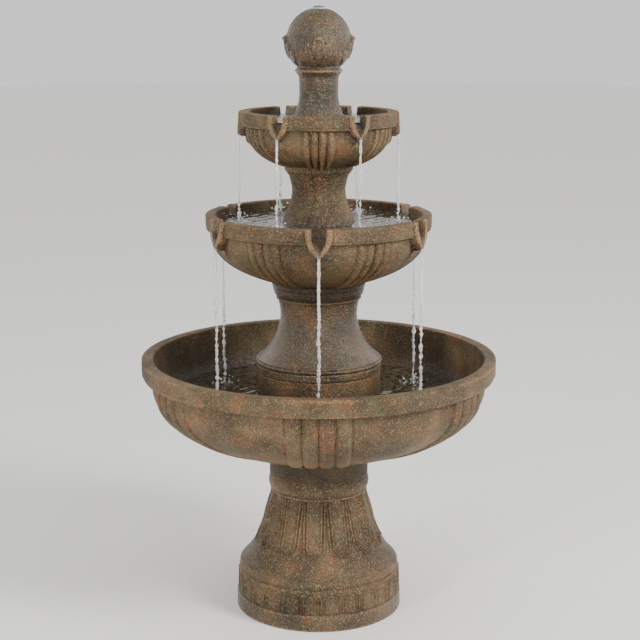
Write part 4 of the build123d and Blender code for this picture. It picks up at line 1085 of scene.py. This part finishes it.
def poolMesh(name, pool):
    b, level = pool["bowl"], pool["level"]
    lines = bowlLines(b)
    walls = [p for p in lines["inside"] if p[1] <= level + 3][::2]
    outer = walls[0][0] + 0.8
    radii = np.arange(pool["inner"], outer, 1.7)
    under = [(p[0] + 0.8, p[1] - 0.8) for p in walls[1:]] + [(pool["inner"], lines["floor"] - 0.8)]
    line = [(q, level) for q in radii] + [(outer, level), (outer, level - 3)] + under
    r, angle, z = gridOf(line, evenAngles(300))
    x, y = r * np.sin(angle), -r * np.cos(angle)
    wave = np.zeros(r.shape)
    ring, count, first = pool["landings"]
    for k in range(count):
        a = math.radians(first + 360 / count * k)
        d = np.hypot(x - ring * math.sin(a), y + ring * math.cos(a))
        wave += np.exp(-d / rippleLook["reach"]) * np.cos(2 * math.pi * d / rippleLook["length"] + k)
        wave += 1.6 * np.exp(-(d / 5) ** 2)
    slow = np.sin(x * 0.11 + 1.3) * np.cos(y * 0.13 + 0.4) + 0.6 * np.sin(x * 0.23 - y * 0.19)
    top = (np.arange(len(line)) < len(radii))[:, None]
    z = z + top * (rippleLook["height"] * wave + rippleLook["swell"] * slow)
    mesh = ringGrid(name, r, angle, z)
    mesh.materials.append(poolWater)
    mesh.shade_smooth()
    mesh.set_sharp_from_angle(angle=math.radians(50))
    return mesh


def streamTree():   # lines of water falling from points set around the axis, thinner and beaded lower down
    tree, given = newTree("fallingStreams", {"Streams": "Int", "First Angle": "Float", "Ring": "Float",
                                             "Top": "Float",
                                             "Bottom": "Float", "Thickness": "Float", "Wander": "Float",
                                             "Seed": "Float", "Material": "Material"})
    startAt = addNode(tree, "ShaderNodeCombineXYZ", {2: given["Top"]})
    endAt = addNode(tree, "ShaderNodeCombineXYZ", {2: given["Bottom"]})
    line = addNode(tree, "GeometryNodeCurvePrimitiveLine",
                   {"Start": startAt.outputs[0], "End": endAt.outputs[0]})
    fine = addNode(tree, "GeometryNodeResampleCurve", {"Curve": line.outputs[0], "Count": 150})
    spots = addNode(tree, "GeometryNodePoints", {"Count": given["Streams"]})
    number = addNode(tree, "GeometryNodeInputIndex")
    known = workOut(tree, dict(given, number=number.outputs[0]), (
        ("step", "DIVIDE", 2 * math.pi, "Streams"), ("turn", "MULTIPLY_ADD", "number", "step", "First Angle"),
        ("sin", "SINE", "turn"), ("cos", "COSINE", "turn"), ("x", "MULTIPLY", "sin", "Ring"),
        ("y0", "MULTIPLY", "cos", "Ring"), ("y", "MULTIPLY", "y0", -1.0)))
    place = addNode(tree, "ShaderNodeCombineXYZ", {0: known["x"], 1: known["y"]})
    placed = addNode(tree, "GeometryNodeSetPosition",
                     {"Geometry": spots.outputs[0], "Position": place.outputs[0]})
    copies = addNode(tree, "GeometryNodeInstanceOnPoints",
                     {"Points": placed.outputs[0], "Instance": fine.outputs[0]})
    real = addNode(tree, "GeometryNodeRealizeInstances", {"Geometry": copies.outputs[0]})
    here = addNode(tree, "GeometryNodeInputPosition")
    stretched = addNode(tree, "ShaderNodeVectorMath", {0: here.outputs[0], 1: (60, 60, 26)},
                        operation="MULTIPLY")
    slow = addNode(tree, "ShaderNodeTexNoise", {"Vector": stretched.outputs[0], "W": given["Seed"], "Scale": 1.0,
                                                "Detail": 2.0}, noise_dimensions="4D")
    centred = addNode(tree, "ShaderNodeVectorMath", {0: slow.outputs["Color"], 1: (0.5, 0.5, 0.5)},
                      operation="SUBTRACT")
    flat = addNode(tree, "ShaderNodeVectorMath", {0: centred.outputs[0], 1: (1, 1, 0)}, operation="MULTIPLY")
    parameter = addNode(tree, "GeometryNodeSplineParameter")
    known = workOut(tree, dict(given, t=parameter.outputs["Factor"]), (
        ("grow", "POWER", "t", 0.7), ("amount", "MULTIPLY", "grow", "Wander")))
    shift = addNode(tree, "ShaderNodeVectorMath", {0: flat.outputs[0], "Scale": known["amount"]},
                    operation="SCALE")
    swayed = addNode(tree, "GeometryNodeSetPosition", {"Geometry": real.outputs[0], "Offset": shift.outputs[0]})
    beadAt = addNode(tree, "ShaderNodeVectorMath", {0: here.outputs[0], 1: (40, 40, 150)}, operation="MULTIPLY")
    beads = addNode(tree, "ShaderNodeTexNoise", {"Vector": beadAt.outputs[0], "W": given["Seed"], "Scale": 1.0,
                                                 "Detail": 1.0}, noise_dimensions="4D")
    known = workOut(tree, dict(given, t=parameter.outputs["Factor"], bead=beads.outputs["Fac"]), (
        ("uneven", "SUBTRACT", "bead", 0.45), ("rough", "MULTIPLY_ADD", "t", 4.4, 1.4),
        ("swing", "MULTIPLY", "uneven", "rough"), ("thin", "MULTIPLY_ADD", "t", -0.45, 1.0),
        ("both", "ADD", "swing", "thin"), ("kept", "MAXIMUM", "both", 0.22),
        ("radius", "MULTIPLY", "kept", "Thickness")))
    sized = addNode(tree, "GeometryNodeSetCurveRadius", {"Curve": swayed.outputs[0], "Radius": 1.0})
    profile = addNode(tree, "GeometryNodeCurvePrimitiveCircle", {"Resolution": 10, "Radius": 1.0})
    tube = addNode(tree, "GeometryNodeCurveToMesh",
                   {"Curve": sized.outputs[0], "Profile Curve": profile.outputs[0],
                                                     "Fill Caps": True, "Scale": known["radius"]})
    smooth = addNode(tree, "GeometryNodeSetShadeSmooth", {"Geometry": tube.outputs[0]})
    painted = addNode(tree, "GeometryNodeSetMaterial",
                      {"Geometry": smooth.outputs[0], "Material": given["Material"]})
    addNode(tree, "NodeGroupOutput", {"Geometry": painted.outputs[0]})
    return tree


def dropTree():   # drops and bubbles thrown up where the streams land
    tree, given = newTree("splashDrops", {"Landings": "Int", "First Angle": "Float", "Ring": "Float",
                                          "Level": "Float",
                                          "Drops": "Int", "Spread": "Float", "Seed": "Int",
                                          "Material": "Material"})
    total = addNode(tree, "ShaderNodeMath", {0: given["Landings"], 1: given["Drops"]}, operation="MULTIPLY")
    spots = addNode(tree, "GeometryNodePoints", {"Count": total.outputs[0]})
    number = addNode(tree, "GeometryNodeInputIndex")
    chance = [addNode(tree, "FunctionNodeRandomValue", {"Seed": given["Seed"], "ID": number.outputs[0]},
                      data_type="FLOAT")
              for _ in range(4)]
    for k, dice in enumerate(chance):
        extra = addNode(tree, "ShaderNodeMath", {0: given["Seed"], 1: 17.0 * k + 3}, operation="ADD")
        tree.links.new(extra.outputs[0], dice.inputs["Seed"])
    a, b, c, d = (dice.outputs[1] for dice in chance)
    known = workOut(tree, dict(given, number=number.outputs[0], a=a, b=b, c=c, d=d), (
        ("step", "DIVIDE", 2 * math.pi, "Landings"), ("which", "MODULO", "number", "Landings"),
        ("turn", "MULTIPLY_ADD", "which", "step", "First Angle"), ("sin", "SINE", "turn"),
        ("cos", "COSINE", "turn"), ("x", "MULTIPLY", "sin", "Ring"), ("y0", "MULTIPLY", "cos", "Ring"),
        ("y", "MULTIPLY", "y0", -1.0), ("way", "MULTIPLY", "a", 2 * math.pi), ("far0", "POWER", "b", 1.6),
        ("far", "MULTIPLY", "far0", "Spread"), ("cosWay", "COSINE", "way"), ("sinWay", "SINE", "way"),
        ("px", "MULTIPLY_ADD", "cosWay", "far", "x"), ("py", "MULTIPLY_ADD", "sinWay", "far", "y"),
        ("up0", "POWER", "c", 5.0), ("up1", "MULTIPLY", "up0", 16 * mm),
        ("pz", "ADD", "up1", "Level"), ("size0", "POWER", "d", 2.0),
        ("size", "MULTIPLY_ADD", "size0", 1.5 * mm, 0.5 * mm)))
    place = addNode(tree, "ShaderNodeCombineXYZ", {0: known["px"], 1: known["py"], 2: known["pz"]})
    placed = addNode(tree, "GeometryNodeSetPosition",
                     {"Geometry": spots.outputs[0], "Position": place.outputs[0]})
    ball = addNode(tree, "GeometryNodeMeshIcoSphere", {"Radius": 1.0, "Subdivisions": 2})
    drops = addNode(tree, "GeometryNodeInstanceOnPoints",
                    {"Points": placed.outputs[0], "Instance": ball.outputs[0],
                                                           "Scale": known["size"]})
    real = addNode(tree, "GeometryNodeRealizeInstances", {"Geometry": drops.outputs[0]})
    smooth = addNode(tree, "GeometryNodeSetShadeSmooth", {"Geometry": real.outputs[0]})
    painted = addNode(tree, "GeometryNodeSetMaterial",
                      {"Geometry": smooth.outputs[0], "Material": given["Material"]})
    addNode(tree, "NodeGroupOutput", {"Geometry": painted.outputs[0]})
    return tree


for name, pool in pools.items():
    piece = bpy.data.objects.new(name + "_pool_water", poolMesh(name + "Pool", pool))
    bpy.context.scene.collection.objects.link(piece)
    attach(piece, pool["body"])
streams, splashes = streamTree(), dropTree()
fallLook = {"ringIn": 2.4, "startUp": 3, "intoPool": 1.5, "wander": 11 * mm, "drops": 70, "spread": 26 * mm}
emptyMesh = bpy.data.meshes.new("start")
for name, body, spouts, b, bottom, thick, seed in (
        ("middle_streams", "mid_bowl", middleSpouts, middleBowl, waterLevels["lower"], 2.3, 3.0),
        ("top_streams", "high_bowl", topSpouts, topBowl, waterLevels["middle"], 2.0, 11.0)):
    ring = b["rimRadius"] + spouts["stand"] - fallLook["ringIn"]
    piece = grownPiece(name, emptyMesh.copy(), streams, {
        "Streams": spouts["count"], "First Angle": math.radians(spouts["first"]), "Ring": ring * mm,
        "Top": (b["rim"] - spouts["height"] + fallLook["startUp"]) * mm,
        "Bottom": (bottom - fallLook["intoPool"]) * mm,
        "Thickness": thick * mm, "Wander": fallLook["wander"], "Seed": seed, "Material": streamWater})
    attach(piece, body)
for name, body, landing, level, seed in (("lower_splashes", "basin", (196.4, 6, 0), waterLevels["lower"], 5),
                                         ("middle_splashes", "mid_bowl", (135.4, 6, 30), waterLevels["middle"],
                                          9)):
    piece = grownPiece(name, emptyMesh.copy(), splashes, {
        "Landings": landing[1], "First Angle": math.radians(landing[2]), "Ring": landing[0] * mm,
        "Level": level * mm,
        "Drops": fallLook["drops"], "Spread": fallLook["spread"], "Seed": seed, "Material": streamWater})
    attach(piece, body)
crownWater = turnedMesh("waterNub", [(0, finialTop + 4.6), (2.5, finialTop + 4.2), (5, finialTop + 3),
                                     (8, finialTop + 1.2),
                                     (12, finialTop - 0.4), (15, finialTop - 2.4), (14, finialTop - 4),
                                     (4.6, finialTop - 1.5),
                                     (3.0, finialTop - 3), (0, finialTop - 3)], 48, closed=False)
crownWater.materials.append(streamWater)
crownWater.shade_smooth()
nub = bpy.data.objects.new("ball_water", crownWater)
bpy.context.scene.collection.objects.link(nub)
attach(nub, "crown")
print("water done")


# Studio: pale floor, soft light, camera
studio = {"floor": "F4F2EE", "floorLight": "F8F6F3", "worldColour": "FFFFFF", "worldStrength": 0.98,
          "keyEnergy": 128.0, "fillEnergy": 2.0, "sparkleEnergy": 30.0, "cameraPlace": (0.0, -2.5484, 1.0611),
          "cameraTilt": 77.842, "lens": 85.15, "shift": 0.002}
floorMesh = bpy.data.meshes.new("studioFloor")
sheet = bmesh.new()
bmesh.ops.create_circle(sheet, cap_ends=True, radius=16, segments=96)
sheet.to_mesh(floorMesh)
sheet.free()
floorPiece = bpy.data.objects.new("studio_floor", floorMesh)
bpy.context.scene.collection.objects.link(floorPiece)
paper, paperTree, where = newMaterial("paperMatt")   # matt studio paper, faintly fibrous
fibre = addNode(paperTree, "ShaderNodeTexNoise", {"Vector": where, "Scale": 40.0, "Detail": 3.0})
paperTone = addNode(paperTree, "ShaderNodeMix", {0: fibre.outputs["Fac"], 6: linear(studio["floor"]),
                                                 7: linear(studio["floorLight"])}, data_type="RGBA")
paperShader = addNode(paperTree, "ShaderNodeBsdfPrincipled",
                      {"Base Color": paperTone.outputs[2], "Roughness": 0.85})
addNode(paperTree, "ShaderNodeOutputMaterial", {"Surface": paperShader.outputs[0]})
floorMesh.materials.append(paper)

world = bpy.data.worlds.new("studioWorld")
bpy.context.scene.world = world
world.use_nodes = True
world.node_tree.nodes.clear()
sky = addNode(world.node_tree, "ShaderNodeBackground", {"Color": linear(studio["worldColour"]),
                                                        "Strength": studio["worldStrength"]})
addNode(world.node_tree, "ShaderNodeOutputWorld", {"Surface": sky.outputs[0]})
for name, place, size, energy in (("keyLight", (2.4, -1.7, 2.5), (1.1, 1.1), studio["keyEnergy"]),
                                  ("fillLight", (-2.4, -1.6, 1.6), (1.6, 1.6), studio["fillEnergy"]),
                                  ("sparkleLight", (-1.75, -2.1, 1.35), (0.1, 0.9), studio["sparkleEnergy"])):
    lamp = bpy.data.lights.new(name, "AREA")
    lamp.shape, lamp.energy = "RECTANGLE", energy
    lamp.size, lamp.size_y = size
    holder = bpy.data.objects.new(name, lamp)
    bpy.context.scene.collection.objects.link(holder)
    holder.location = place
    holder.rotation_euler = (Vector((0, 0, 0.8)) - Vector(place)).to_track_quat("-Z", "Y").to_euler()
lens = bpy.data.cameras.new("studioCamera")
lens.lens, lens.sensor_width, lens.shift_x = studio["lens"], 36, studio["shift"]
camera = bpy.data.objects.new("studioCamera", lens)
camera.location = studio["cameraPlace"]
camera.rotation_euler = (math.radians(studio["cameraTilt"]), 0, 0)
bpy.context.scene.collection.objects.link(camera)
bpy.context.scene.camera = camera

print("scene ready")
